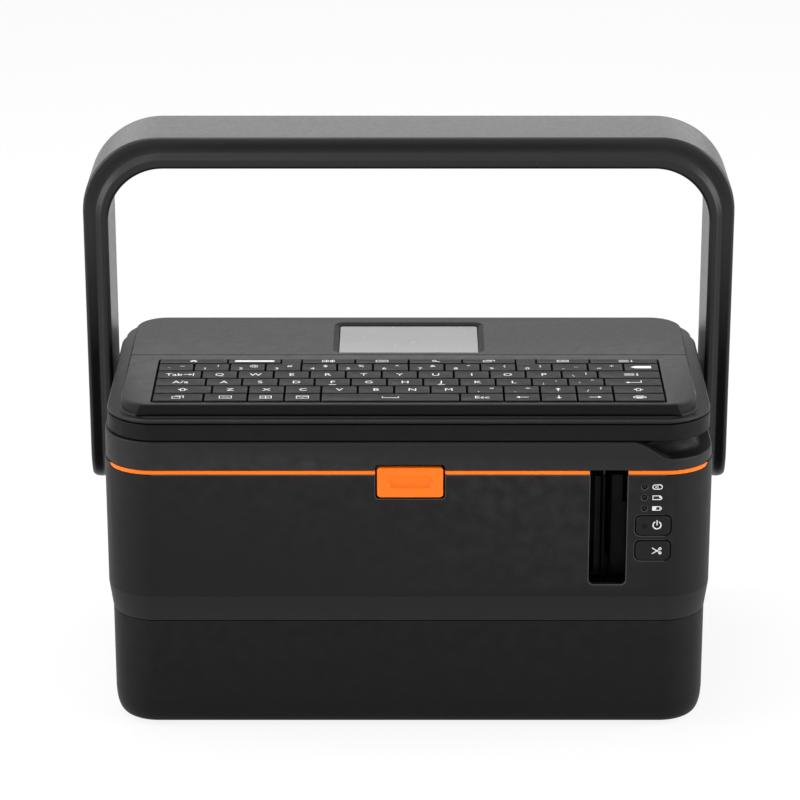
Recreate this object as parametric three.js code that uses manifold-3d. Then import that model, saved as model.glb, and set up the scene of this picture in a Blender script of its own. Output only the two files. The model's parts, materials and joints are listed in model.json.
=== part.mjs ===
// A portable label and tube printer: a two-tier case, a keyboard with display on its lid and a U-shaped
// carrying handle. Millimetres, +X right, +Y back, +Z up, with the origin under the middle of the case.
import * as THREE from "three";
import { mergeVertices } from "three/addons/utils/BufferGeometryUtils.js";
import Module from "manifold-3d";

const wasm = await Module();
wasm.setup();

// ---------------------------------------------------------------- driving dimensions

// All pieces
const WALL = 2.8; // moulded wall of every case part
const FIT = 0.3; // gap between pieces that touch or are clipped together
const RUN = 0.5; // gap round a piece that slides or turns
const ROOT = 1; // how far a joined feature reaches into the wall that it grows from

// Lower case
const BODY_WIDTH = 308.4; // main case, side to side
const BODY_DEPTH = 188; // main case, front to back
const CORNER = 25; // plan radius of the upright corners
const FOOT_HEIGHT = 1.5; // how far the feet stand below the tray
const FOOT_RADIUS = 9;
const FOOT_SEAT = 1; // depth of the recess that a foot is glued into
const FOOT_EDGE = { width: 1, height: 0.7 }; // bevel of a foot's tread
const FOOT_INSET = { x: 32.2, y: 26 }; // middle of a foot, inside the tray's edges
const TRAY_HEIGHT = 57.9;
const TRAY_INSET = 2; // tray and lower edge of the housing, inside the body width on each side
const TRAY_FLOOR = 4;
const TRAY_EDGE = { width: 4.4, height: 12 }; // rounding of the tray's lower edge
const POST_RADIUS = 4; // screw posts in the tray's corners
const POST_INSET = { x: 8.2, y: 30 }; // middle of a post, inside the tray's edges
const DOOR_THICK = 2; // battery door
const DOOR_MARGIN = 6; // door, past the battery on each side
const DOOR_LEDGE = 3; // ledge that the door rests against
const DOOR_GRIP = { count: 3, width: 24, height: 1.6, depth: 0.7, pitch: 4, edge: 8 };

// Electronics
const BATTERY = { width: 96, depth: 60, height: 27, corner: 6, edge: 1.5 };
const TERMINALS = { width: 24, depth: 4, low: 6, high: 14 };
const BOARD = { width: 80, depth: 100, thick: 1.6 };
const BOARD_RISE = 14.5; // underside of the main board above the tray's floor
const BOARD_SIDE = 17.4; // room between the main board and the tray's left wall
const BOARD_REAR = 1; // room between the main board and the tray's rear wall
const BATTERY_SPACE = 4; // room between the main board and the battery
const BOARD_POST = { radius: 3, inset: 6, rear: 20 };
const SOLDER = 0.2; // how far a chip sinks into its solder
const CHIPS = [
  { x: -10, y: -12, width: 22, depth: 22, height: 1.8 },
  { x: 20, y: -22, width: 12, depth: 18, height: 1.4 },
  { x: 18, y: 6, width: 16, depth: 10, height: 1.8 },
  { x: -24, y: -38, width: 24, depth: 5, height: 5.2 },
]; // from the middle of the main board
const CAPACITORS = { count: 3, radius: 4, height: 11, x: -30, y: 14, pitch: 11 };
const SOCKET_INSET = 0.6; // socket faces, inside the tray's rear wall
const POWER_INLET = { x: -18, width: 14, depth: 14, height: 11, well: 3.3, reach: 9, pin: 1, sunk: 1.5 };
const DATA_SOCKET = { x: 8, width: 12, depth: 16, height: 11, mouth: 8.6, tall: 7.8, reach: 9 };
const DATA_TONGUE = { width: 5.6, height: 3.2, sunk: 1 };

// Housing
const HOUSING_HEIGHT = 82.6;
const SLOPE_HEIGHT = 14; // drawn-in lower band of the housing
const TRIM_HEIGHT = 2; // accent strip let into the housing's top edge
const TRIM_WRAP = Math.PI / 3; // how far the strip follows the front corners
const REAR_DROP = 3.8; // drop of the housing's rear rim, where the lid's skirt swings down
const REAR_LEAD = 1; // start of the drop, in front of the hinge axis
const LEDGE = { width: 14, reach: 12.4, root: 0.4, rise: 1 }; // posts that carry the deck

// Front controls
const SLOT_INSET = 63.1; // label exit: its left edge, inside the case's right side
const SLOT_WIDTH = 18.8;
const SLOT_SILL = 0.4; // floor of the slot above the deck
const CHUTE_WALL = 1.2;
const CHUTE_DEPTH = 7.5;
const RIB = { first: 6.4, pitch: 4.3, thick: 0.9, setback: 1 }; // guide ribs in the chute
const RELEASE_WIDTH = 33.5; // orange button
const RELEASE_HEIGHT = 16.7;
const RELEASE_CORNER = 1.6;
const RELEASE_DROP = 14.3; // its lower edge below the housing's top
const RELEASE_X = 0.7;
const RELEASE_TRAVEL = 3;
const RELEASE_DISH = { width: 24, height: 6.6, depth: 0.9 };
const RELEASE_SLIDE = { width: 18, low: 1, high: 6, reach: 6 };
const RELEASE_NOSE = { width: 14, low: 5 };
const BUTTON_GAP = 0.75; // visible gap round the release button
const FRONT_PROUD = 0.7; // how far the release button and the tube inlet stand out
const CATCH = { width: 12, thick: 2.5, rise: 8, bite: 3 }; // lug of the lid that the nose holds
const PANEL_KEY_WIDTH = 17.9; // power and cut buttons
const PANEL_KEY_HEIGHT = 10.8;
const PANEL_KEY_CORNER = 2.8;
const PANEL_KEY_PROUD = 0.5;
const PANEL_KEY_SPACE = 2.8; // between the two buttons
const PANEL_KEY_LEAD = 4.35; // between the slot and the buttons
const PANEL_KEY_SKIRT = 1; // how far a cap reaches behind the wall
const PANEL_KEY_STEM = { width: 6, height: 4, reach: 4 };
const POWER_DROP = 29.5; // middle of the power button below the housing's top
const LIGHT_RADIUS = 1.25; // status lights
const LIGHT_PITCH = 5.8;
const LIGHT_SPACE = 3.9; // between the lowest light's middle and the power button
const LIGHT_SHIFT = -4.7; // from the middle of the buttons
const LIGHT_PROUD = 0.2;
const LIGHT_BAR = { width: 5, thick: 2, spare: 3 };

// Tube inlet
const TUBE_INLET_RADIUS = 6;
const TUBE_INLET_SPACE = 7.3; // between its flange and the hinge ear above it
const TUBE_INLET_SLEEVE = 2;
const TUBE_INLET_FLANGE = { reach: 5, thick: 4 };
const TUBE_INLET_EDGE = { outer: 0.5, mouth: 1 };

// Lid and hinge
const LID_HEIGHT = 15; // lid, up to the keyboard unit
const LID_INSET = 0.5; // lid, inside the body width on each side
const LID_EDGE = 0.8;
const SCOOP_DEPTH = 10.5; // finger scoop in the lid's right front corner
const SCOOP_HEIGHT = 9.2;
const SCOOP_SIDE = 42.7; // start of the scoop, inside the case's right side
const SCOOP_LENGTH = 62; // its other end, behind the case's front
const SCOOP_SLANT = 17; // length of the slopes at its ends
const SCOOP_FLOOR = 2; // plastic under the scoop
const SCOOP_MARGIN = { left: 2, rear: 4 }; // thickened corner past the ends of the scoop
const SCOOP_TURN = 10; // straight side of the lid in which the scoop's two slopes may meet
const HINGE_PIN = 2; // radius
const HINGE_BARREL = 5; // radius of ears and knuckles
const HINGE_COVER = 1; // barrel, in front of the case's back
const HINGE_RISE = 3.7; // hinge axis above the housing's top
const HINGE_INSET = 54.2; // middle of a hinge, inside the case's side
const EAR_WIDTH = 12;
const EAR_STEM = 16; // stem of an ear below the housing's top
const KNUCKLE_WIDTH = 8;

// Keyboard unit
const KEYBOARD_INSET = 1.9; // keyboard unit, inside the body width on each side
const CASE_HEIGHT = 8.9; // keyboard lower case
const RIM_HEIGHT = 2.2; // shelf round the raised plate
const RIM_EDGE = 0.9;
const PLATE_HEIGHT = 6.9; // raised plate above its shelf
const PLATE_SIDE = 7.6; // width of the shelf at the sides
const PLATE_END = 4.6; // width of the shelf at front and back
const PLATE_CORNER = 16;
const PLATE_EDGE = { width: 1, height: 1.2 };
const PLATE_SKIN = 2.2; // top of the plate
const PLATE_WALL = { side: 3.8, end: 3.3 }; // walls of the plate
const BAND = { recess: 0.8, inset: 7.7, low: 0.5, high: 1.2 }; // seat of the glossy band in the plate's front
const WINDOW_WIDTH = 72.6; // display window
const WINDOW_DEPTH = 42;
const WINDOW_SINK = 1.2; // glass below the plate
const WINDOW_THICK = 1.5;
const WINDOW_CORNER = 1.2;
const WINDOW_EDGE = 0.3;
const WINDOW_BEVEL = 3;
const WINDOW_LEDGE = 2.5; // ledge that the glass rests on
const WINDOW_LEAD = 14.5; // plate between the keys and the window
const WINDOW_TRAIL = 16.5; // unit behind the window
const MODULE_FRAME = { side: 4, end: 2, thick: 3, cell: 3 };
const FIELD_SIDE = 23.6; // opening for the keys, inside the unit's sides
const FIELD_LEAD = 8; // opening, behind the unit's front
const KEY_UNITS = 14; // single key widths that fill one row
const KEY_ROW = 11.12; // depth of one row of keys
const FUNCTION_ROW = 7.4; // depth of the rear row
const KEY_GAP = 0.7; // between two keys
const KEY_PROUD = 0.6; // key tops above the plate
const KEY_TRAVEL = 1.8;
const KEY_DISH = 0.7; // bevel round a key top
const KEY_WEB = 1.4; // strip that joins the keys of one row
const PCB_RISE = 3.8; // keyboard board, upper face above the case floor
const PCB_MARGIN = { side: 7, rear: 4, corner: 3 };
const PCB_POST = { radius: 3, front: 8, rear: 4 };
const MAT = { thick: 1.2, inset: 0.5, corner: 2 };

// Handle
const ARM_GAP = 1.8; // between the case and an arm
const ARM_THICK = 13;
const ARM_SKIN = 4; // arm outside the pivot's bore
const ARM_TIP = 7; // outer radius at the lower end of an arm
const BAR_THICK = 17;
const HANDLE_CLEAR = 110.8; // top of the handle above the keyboard's plate
const HANDLE_DEPTH = 44.4;
const HANDLE_EDGE = 1.6;
const HANDLE_CORNER = 40; // outer radius where arm meets bar
const HANDLE_INNER_CORNER = 29;
const PIVOT_DROP = 26.9; // pivots below the housing's top
const PIVOT_INSET = 66; // pivots in front of the case's back
const PIVOT_RADIUS = 6;
const PIVOT_HEAD = 3; // thickness of a pivot's head, and how far it stands out
const WASHER_REACH = 8; // washer between arm and case, past the pin

// Print mechanism
const DECK_THICK = 2;
const MOTOR_SPACE = 1.2; // between the battery and the motor above it
const DECK_MARGIN = 3; // between the deck and the housing's walls
const CABLE_SLOT = { width: 70, depth: 24, corner: 6, back: 32 };
const GEAR_MODULE = 1;
const GEAR_THICK = 5;
const GEAR_SPACE = 1.5; // between the gears and the deck above them, and the motor's flange below them
const TOOTH = { root: 1.2, tip: 0.85, rootShare: 0.29, tipShare: 0.09 }; // in modules, and in tooth pitches
const PLATEN_TEETH = 20;
const IDLER_TEETH = 36;
const PINION_TEETH = 12;
const IDLER_ANGLE = THREE.MathUtils.degToRad(150); // direction from roller axis to idler axis
const PINION_ANGLE = THREE.MathUtils.degToRad(170); // direction from idler axis to motor axis
const SHAFT_RADIUS = 2;
const STUB_RADIUS = 2.5; // stub that the idler turns on
const MOTOR = { radius: 15, height: 34, shaft: 1.5, cap: 5, capHeight: 2.5 };
const MOTOR_FLANGE = { width: 26, depth: 46, thick: 1.5 };
const HANGER = { shift: -8, spread: 19, width: 8, depth: 6 };
const SERVICE_HOLE = 3; // radius of the hole in the deck over the motor shaft
const ROLLER_RADIUS = 5;
const ROLLER_EDGE = 0.6;
const ROLLER_RISE = 3; // roller above the deck
const JOURNAL = { upper: 3.6, lower: 0.8 }; // shaft above the roller and below the gears
const TAPE_LANE = 1; // room between print head and roller
const HEAD_DROP = 9.3; // top of the print head below the housing's top
const HEAD = { thick: 1.6, depth: 20, rise: 4, over: 1 };
const HEAD_CONNECTOR = { depth: 3, proud: 0.6, margin: 10 };
const HEAD_LEAD = 6.5; // between cutter and print head
const HOLDER = { gap: 1.5, thick: 2.5, depth: 14, arm: 10, reach: 4, plate: 2, foot: 14 };
const GUSSET = { length: 12, height: 35, thick: 2 };
const SINK = { thick: 9, foot: 5, footThick: 2.4, fins: 4, pitch: 4, groove: 1.8, depth: 5.4 };
const CUTTER_GAP = 1; // between the deck's front edge and the fixed blade
const CUTTER_TRAVEL = 4;
const BLADE = { thick: 1.5, over: 2, width: 5.6, lap: 0.4, gap: 0.4 };
const ANVIL_FOOT = { left: 14, depth: 7, thick: 2 };
const KNIFE = { open: 1.6, bevel: 1.6, width: 7, extra: 2 }; // moving blade
const CARRIER = { left: 5, width: 9, height: 40 }; // behind the moving blade
const CASSETTE = { lead: 16, depth: 80, corner: 6, edge: 1.2, hub: 5, hubInset: 20, gap: 6, space: 1 };
const CASSETTE_LABEL = { side: 12, rear: 5, depth: 16, sunk: 0.4 }; // recess for a paper label
const TAPE_CASSETTE = { width: 76, height: 54 };
const TAPE_ARM = { width: 12, front: 8, root: 4, low: 1, high: 52 }; // leads the tape to the head
const RIBBON_CASSETTE = { width: 92, height: 38 };

// ---------------------------------------------------------------- sizes that follow from them

const LIFT = 5; // overrun of a cutting tool past a face
const PAST = 0.1; // its overrun where a longer one would mark the next wall
const ARC_STEPS = 5; // flats in each rounded corner
const SOFT_STEPS = 3; // flats in a small corner or edge
const EDGE_STEPS = 2; // flats in the smallest
const SIDES = { large: 28, plain: 24, small: 16, tiny: 12 }; // flats round a circle
const FRONT = -BODY_DEPTH / 2;
const BACK = BODY_DEPTH / 2;
const RIGHT = BODY_WIDTH / 2;
const INNER_FRONT = FRONT + WALL;

const TRAY_WIDTH = BODY_WIDTH - 2 * TRAY_INSET;
const TRAY_DEPTH = BODY_DEPTH - 2 * TRAY_INSET;
const TRAY_CORNER = CORNER - TRAY_INSET;
const TRAY_BOTTOM = FOOT_HEIGHT;
const TRAY_TOP = TRAY_BOTTOM + TRAY_HEIGHT;
const FLOOR_TOP = TRAY_BOTTOM + TRAY_FLOOR;
const FOOT_X = TRAY_WIDTH / 2 - FOOT_INSET.x;
const FOOT_Y = TRAY_DEPTH / 2 - FOOT_INSET.y;
const POST_X = TRAY_WIDTH / 2 - POST_INSET.x;
const POST_Y = TRAY_DEPTH / 2 - POST_INSET.y;

const BOARD_Z = FLOOR_TOP + BOARD_RISE;
const BOARD_X = -TRAY_WIDTH / 2 + WALL + BOARD_SIDE + BOARD.width / 2;
const BOARD_Y = TRAY_DEPTH / 2 - WALL - BOARD_REAR - BOARD.depth / 2;
const BATTERY_X = BOARD_X + BOARD.width / 2 + BATTERY_SPACE + BATTERY.width / 2;
const DOOR_WIDTH = BATTERY.width + 2 * DOOR_MARGIN;
const DOOR_DEPTH = BATTERY.depth + 2 * DOOR_MARGIN;
const SOCKET_FACE = TRAY_DEPTH / 2 - SOCKET_INSET;
const SOCKET_BOTTOM = BOARD_Z + BOARD.thick + FIT;

const HOUSING_BOTTOM = TRAY_TOP + FIT;
const HOUSING_TOP = HOUSING_BOTTOM + HOUSING_HEIGHT;
const TRIM_BOTTOM = HOUSING_TOP - TRIM_HEIGHT;
const TRIM_DEPTH = WALL - FIT;
const TRIM_END = FRONT + CORNER * (1 - Math.cos(TRIM_WRAP));
const BATTERY_TOP = TRAY_BOTTOM + DOOR_THICK + FIT + BATTERY.height;
const MOTOR_BOTTOM = BATTERY_TOP + MOTOR_SPACE + MOTOR.capHeight; // underside of the motor's can
const FLANGE_TOP = MOTOR_BOTTOM + MOTOR.height + MOTOR_FLANGE.thick;
const GEAR_Z = FLANGE_TOP + GEAR_SPACE;
const GEAR_TOP = GEAR_Z + GEAR_THICK;
const DECK_Z = GEAR_TOP + GEAR_SPACE;
const DECK_TOP = DECK_Z + DECK_THICK;
const ON_DECK = DECK_TOP + FIT;

const SLOT_LEFT = RIGHT - SLOT_INSET;
const SLOT_RIGHT = SLOT_LEFT + SLOT_WIDTH;
const SLOT_MIDDLE = SLOT_LEFT + SLOT_WIDTH / 2;
const SLOT_BOTTOM = DECK_TOP + SLOT_SILL;
const RELEASE_BOTTOM = HOUSING_TOP - RELEASE_DROP;
const RELEASE_TOP = RELEASE_BOTTOM + RELEASE_HEIGHT;
const RELEASE_HALF = RELEASE_WIDTH / 2 + BUTTON_GAP; // half width of the button's notch
const CATCH_FRONT = INNER_FRONT + RUN + RELEASE_TRAVEL + RUN; // behind the pressed button
const CATCH_BACK = CATCH_FRONT + CATCH.thick;
const CATCH_BOTTOM = RELEASE_BOTTOM + CATCH.rise;
const PANEL_KEY_X = SLOT_RIGHT + PANEL_KEY_LEAD + PANEL_KEY_WIDTH / 2;
const POWER_Z = HOUSING_TOP - POWER_DROP;
const CUT_Z = POWER_Z - PANEL_KEY_HEIGHT - PANEL_KEY_SPACE;
const LIGHT_X = PANEL_KEY_X + LIGHT_SHIFT;
const LIGHT_Z = POWER_Z + PANEL_KEY_HEIGHT / 2 + LIGHT_SPACE + LIGHT_PITCH; // middle light
const LIGHT_HEIGHTS = [-1, 0, 1].map((i) => LIGHT_Z + i * LIGHT_PITCH);
const TUBE_INLET_Z = HOUSING_TOP - EAR_STEM - TUBE_INLET_SPACE - TUBE_INLET_RADIUS - TUBE_INLET_FLANGE.reach;

const LID_WIDTH = BODY_WIDTH - 2 * LID_INSET;
const LID_BOTTOM = HOUSING_TOP + FIT;
const LID_TOP = LID_BOTTOM + LID_HEIGHT;
const LID_ROOF = LID_TOP - WALL;
const SCOOP_LEFT = RIGHT - SCOOP_SIDE;
const SCOOP_REAR = FRONT + SCOOP_LENGTH;
const HINGE_X = RIGHT - HINGE_INSET;
const HINGE_Y = BACK - HINGE_BARREL - HINGE_COVER;
const HINGE_Z = HOUSING_TOP + HINGE_RISE;

const FIELD_FRONT = FRONT + FIELD_LEAD;
const FIELD_BACK = FIELD_FRONT + 5 * KEY_ROW + FUNCTION_ROW;
const WINDOW_FRONT = FIELD_BACK + WINDOW_LEAD;
const WINDOW_BACK = WINDOW_FRONT + WINDOW_DEPTH;
const WINDOW_Y = (WINDOW_FRONT + WINDOW_BACK) / 2;
const KEYBOARD_WIDTH = BODY_WIDTH - 2 * KEYBOARD_INSET;
const KEYBOARD_BACK = WINDOW_BACK + WINDOW_TRAIL;
const KEYBOARD_DEPTH = KEYBOARD_BACK - FRONT;
const KEYBOARD_Y = (KEYBOARD_BACK + FRONT) / 2;
const FIELD_WIDTH = KEYBOARD_WIDTH - 2 * FIELD_SIDE;
const CASE_BOTTOM = LID_TOP + FIT;
const CASE_TOP = CASE_BOTTOM + CASE_HEIGHT;
const RIM_BOTTOM = CASE_TOP + FIT;
const SHELF_Z = RIM_BOTTOM + RIM_HEIGHT;
const PLATE_WIDTH = KEYBOARD_WIDTH - 2 * PLATE_SIDE;
const PLATE_DEPTH = KEYBOARD_DEPTH - 2 * PLATE_END;
const PLATE_FRONT = FRONT + PLATE_END;
const PLATE_TOP = SHELF_Z + PLATE_HEIGHT;
const PLATE_UNDERSIDE = PLATE_TOP - PLATE_SKIN;
const GLASS_TOP = PLATE_TOP - WINDOW_SINK;
const GLASS_SEAT = GLASS_TOP - WINDOW_THICK - FIT;
const PCB_TOP = CASE_BOTTOM + WALL + PCB_RISE;
const MAT_BOTTOM = PCB_TOP + FIT;
const KEY_BOTTOM = MAT_BOTTOM + MAT.thick + KEY_TRAVEL + RUN;
const KEY_TOP = PLATE_TOP + KEY_PROUD;
const KEY_UNIT = FIELD_WIDTH / KEY_UNITS;

const ARM_INNER = RIGHT + ARM_GAP;
const ARM_OUTER = ARM_INNER + ARM_THICK;
const HANDLE_TOP = PLATE_TOP + HANDLE_CLEAR;
const PIVOT_DEPTH = ARM_THICK - ARM_SKIN; // pivot pin inside the arm
const PIVOT_Y = BACK - PIVOT_INSET;
const PIVOT_Z = HOUSING_TOP - PIVOT_DROP;

const CUTTER_Y = INNER_FRONT + FIT + CHUTE_DEPTH + RUN + CUTTER_GAP; // front face of the fixed blade
const KNIFE_Y = CUTTER_Y + BLADE.thick + BLADE.gap; // front face of the moving blade
const ROLLER_Y = KNIFE_Y + BLADE.thick + KNIFE.extra + HEAD_LEAD + HEAD.depth / 2;
const HEAD_X = SLOT_MIDDLE - TAPE_LANE / 2; // face of the print head
const HEAD_TOP = HOUSING_TOP - HEAD_DROP;
const ROLLER_X = HEAD_X + TAPE_LANE + ROLLER_RADIUS;
const ROLLER_TOP = HEAD_TOP + HEAD.over;
const SINK_RIGHT = HEAD_X - HEAD.thick - FIT;
const SINK_LEFT = SINK_RIGHT - SINK.thick;
const KNIFE_X = HEAD_X + KNIFE.open; // edge of the moving blade at rest
const CASSETTE_RIGHT = SINK_LEFT - SINK.foot - CASSETTE.space;
const IDLER_X = ROLLER_X + gearCentres(PLATEN_TEETH, IDLER_TEETH) * Math.cos(IDLER_ANGLE);
const IDLER_Y = ROLLER_Y + gearCentres(PLATEN_TEETH, IDLER_TEETH) * Math.sin(IDLER_ANGLE);
const MOTOR_X = IDLER_X + gearCentres(IDLER_TEETH, PINION_TEETH) * Math.cos(PINION_ANGLE);
const MOTOR_Y = IDLER_Y + gearCentres(IDLER_TEETH, PINION_TEETH) * Math.sin(PINION_ANGLE);

// ---------------------------------------------------------------- solids from three.js geometry

/** Turns a closed geometry into a solid for joining and cutting. */
function toSolid(geometry) {
  const bare = geometry.clone();
  bare.deleteAttribute("normal");
  bare.deleteAttribute("uv");
  const merged = mergeVertices(bare, 1e-4);
  const mesh = new wasm.Mesh({
    numProp: 3,
    vertProperties: merged.attributes.position.array,
    triVerts: new Uint32Array(merged.index.array),
  });
  return new wasm.Manifold(mesh);
}

/** Turns a solid back into a geometry. */
function toGeometry(solid) {
  const mesh = solid.getMesh();
  const geometry = new THREE.BufferGeometry();
  geometry.setAttribute("position", new THREE.BufferAttribute(mesh.vertProperties, 3));
  geometry.setIndex(new THREE.BufferAttribute(mesh.triVerts, 1));
  geometry.computeVertexNormals();
  return geometry;
}

/** Joins a list of solids. */
function join(...solids) {
  return solids.reduce((whole, piece) => whole.add(piece));
}

/** Cuts a list of tools from a solid. */
function cut(solid, ...tools) {
  return tools.reduce((whole, tool) => whole.subtract(tool), solid);
}

/** A box between two corners. */
function box(x0, x1, y0, y1, z0, z1) {
  const geometry = new THREE.BoxGeometry(x1 - x0, y1 - y0, z1 - z0);
  return toSolid(geometry.translate((x0 + x1) / 2, (y0 + y1) / 2, (z0 + z1) / 2));
}

/** A box given by its middle and its size. */
function block(x, y, z, width, depth, height) {
  return box(x - width / 2, x + width / 2, y - depth / 2, y + depth / 2, z - height / 2, z + height / 2);
}

/** An upright round bar. */
function rodZ(radius, x, y, z0, z1, sides = SIDES.plain) {
  const geometry = new THREE.CylinderGeometry(radius, radius, z1 - z0, sides).rotateX(Math.PI / 2);
  return toSolid(geometry.translate(x, y, (z0 + z1) / 2));
}

/** A round bar along X. */
function rodX(radius, x0, x1, y, z, sides = SIDES.plain) {
  const geometry = new THREE.CylinderGeometry(radius, radius, x1 - x0, sides).rotateZ(Math.PI / 2);
  return toSolid(geometry.translate((x0 + x1) / 2, y, z));
}

/** A round bar along Y. */
function rodY(radius, x, y0, y1, z, sides = SIDES.plain) {
  const geometry = new THREE.CylinderGeometry(radius, radius, y1 - y0, sides);
  return toSolid(geometry.translate(x, (y0 + y1) / 2, z));
}

/** A round piece about the Z axis, from pairs of radius and height that start and end on the axis. */
function lathe(profile, sides = SIDES.large) {
  const points = profile.map(([radius, height]) => new THREE.Vector2(radius, height));
  return toSolid(new THREE.LatheGeometry(points, sides).rotateX(Math.PI / 2));
}

/** The outline of a rectangle with round corners, about the origin. */
function roundedRectangle(width, depth, radius) {
  const [x, y] = [width / 2, depth / 2];
  const shape = new THREE.Shape();
  shape.moveTo(-x + radius, -y);
  shape.lineTo(x - radius, -y);
  shape.absarc(x - radius, -y + radius, radius, -Math.PI / 2, 0);
  shape.lineTo(x, y - radius);
  shape.absarc(x - radius, y - radius, radius, 0, Math.PI / 2);
  shape.lineTo(-x + radius, y);
  shape.absarc(-x + radius, y - radius, radius, Math.PI / 2, Math.PI);
  shape.lineTo(-x, -y + radius);
  shape.absarc(-x + radius, -y + radius, radius, Math.PI, (3 * Math.PI) / 2);
  return shape;
}

/** Extrudes an outline from z0 to z1, with both ends rounded off by an edge of the given size. */
function extrude(shape, z0, z1, { inset = 0, rise = inset, steps = 1, curve = ARC_STEPS } = {}) {
  const geometry = new THREE.ExtrudeGeometry(shape, {
    depth: z1 - z0 - 2 * rise,
    bevelEnabled: inset > 0,
    bevelThickness: rise,
    bevelSize: inset,
    bevelOffset: -inset,
    bevelSegments: steps,
    curveSegments: curve,
    steps: 1,
  });
  return geometry.translate(0, 0, z0 + rise);
}

/** A rounded slab whose lower edge alone is drawn in. */
function bowl(width, depth, radius, z0, z1, edge) {
  const whole = extrude(roundedRectangle(width, depth, radius), z0, z1 + edge.rise + LIFT, edge);
  return cut(toSolid(whole), box(-width, width, -depth, depth, z1, z1 + edge.rise + 2 * LIFT));
}

/** A rounded slab whose upper edge alone is drawn in, centred on y. */
function cap(width, depth, radius, z0, z1, edge, y = 0) {
  const whole = extrude(roundedRectangle(width, depth, radius), z0 - edge.rise - LIFT, z1, edge);
  const solid = toSolid(whole.translate(0, y, 0));
  return cut(solid, box(-width, width, y - depth, y + depth, z0 - edge.rise - 2 * LIFT, z0));
}

/** A plain rounded slab, centred on y. */
function slab(width, depth, radius, z0, z1, y = 0, curve = ARC_STEPS) {
  return toSolid(extrude(roundedRectangle(width, depth, radius), z0, z1, { curve }).translate(0, y, 0));
}

/** Extrudes an outline drawn in X and Z, as seen from the front, between two depths. */
function frontPrism(shape, y0, y1, edge = {}) {
  return toSolid(extrude(shape, 0, y1 - y0, edge).rotateX(Math.PI / 2).translate(0, y1, 0));
}

/** Extrudes an outline drawn in Y and Z, as seen from the right, between two widths. */
function sidePrism(shape, x0, x1) {
  const turn = new THREE.Matrix4().makeBasis(
    new THREE.Vector3(0, 1, 0),
    new THREE.Vector3(0, 0, 1),
    new THREE.Vector3(1, 0, 0),
  );
  return toSolid(extrude(shape, x0, x1).applyMatrix4(turn));
}

/** A polygon from a list of corners. */
function polygon(...corners) {
  return new THREE.Shape(corners.map(([x, y]) => new THREE.Vector2(x, y)));
}

/** A rounded plate in the front wall, or the tool for its hole. */
function panelPlate(x, z, width, height, radius, y0, y1, edge = {}) {
  const outline = roundedRectangle(width, height, radius);
  return frontPrism(outline, y0, y1, { curve: ARC_STEPS - 1, ...edge }).translate(x, 0, z);
}

// ---------------------------------------------------------------- finishes

const charcoal = { color: 0x2b2c2e, roughness: 0.55, metalness: 0 };
const satinBlack = { color: 0x17181a, roughness: 0.5, metalness: 0 };
const glossBlack = { color: 0x0a0a0b, roughness: 0.15, metalness: 0 };
const accentOrange = { color: 0xff6a10, roughness: 0.4, metalness: 0 };
const displayGlass = { color: 0xb9bcb8, roughness: 0.12, metalness: 0 };
const softRubber = { color: 0x1a1a1a, roughness: 0.9, metalness: 0 };
const steel = { color: 0xb4b7ba, roughness: 0.35, metalness: 1 };
const aluminium = { color: 0xc5c8cb, roughness: 0.4, metalness: 1 };
const brass = { color: 0xc9a24a, roughness: 0.35, metalness: 1 };
const boardGreen = { color: 0x1f5b3a, roughness: 0.6, metalness: 0 };
const cassetteGrey = { color: 0x8d9094, roughness: 0.5, metalness: 0 };
const gearWhite = { color: 0xe6e3da, roughness: 0.5, metalness: 0 };

/** A named mesh with its own material. */
function piece(name, solid, finish) {
  const mesh = new THREE.Mesh(toGeometry(solid), new THREE.MeshStandardMaterial(finish));
  mesh.name = name;
  return mesh;
}

// ---------------------------------------------------------------- lower case

/** Base tray with its battery opening, foot recesses, posts and the holes of the two sockets. */
function baseTray() {
  const outer = { inset: TRAY_EDGE.width, rise: TRAY_EDGE.height, steps: ARC_STEPS - 1 };
  const inner = { inset: TRAY_EDGE.width - WALL, rise: TRAY_EDGE.height - WALL, steps: SOFT_STEPS };
  const [width, depth] = [TRAY_WIDTH - 2 * WALL, TRAY_DEPTH - 2 * WALL];
  const shell = cut(
    bowl(TRAY_WIDTH, TRAY_DEPTH, TRAY_CORNER, TRAY_BOTTOM, TRAY_TOP, outer),
    bowl(width, depth, TRAY_CORNER - WALL, FLOOR_TOP, TRAY_TOP + LIFT, inner),
  );
  const recesses = footPlaces().map(({ x, y }) =>
    rodZ(FOOT_RADIUS + FIT, x, y, TRAY_BOTTOM - LIFT, TRAY_BOTTOM + FOOT_SEAT),
  );
  return cut(join(shell, ...casePosts(), ...boardPosts()), ...recesses, ...doorOpening(), ...socketHoles());
}

/** Name and middle of each foot. */
function footPlaces() {
  return [["front", -FOOT_Y], ["rear", FOOT_Y]].flatMap(([end, y]) =>
    [["left", -FOOT_X], ["right", FOOT_X]].map(([side, x]) => ({ name: `foot_${end}_${side}`, x, y })),
  );
}

/** Screw posts in the tray's corners. */
function casePosts() {
  const low = FLOOR_TOP - ROOT;
  return [-POST_X, POST_X].flatMap((x) =>
    [-POST_Y, POST_Y].map((y) => rodZ(POST_RADIUS, x, y, low, TRAY_TOP, SIDES.tiny)),
  );
}

/** Short posts under the main board. */
function boardPosts() {
  const reach = BOARD.width / 2 - BOARD_POST.inset;
  const front = BOARD_Y - BOARD.depth / 2 + BOARD_POST.inset;
  const rear = BOARD_Y + BOARD.depth / 2 - BOARD_POST.rear;
  return [BOARD_X - reach, BOARD_X + reach].flatMap((x) =>
    [front, rear].map((y) => rodZ(BOARD_POST.radius, x, y, FLOOR_TOP - ROOT, BOARD_Z - FIT, SIDES.tiny)),
  );
}

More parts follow.
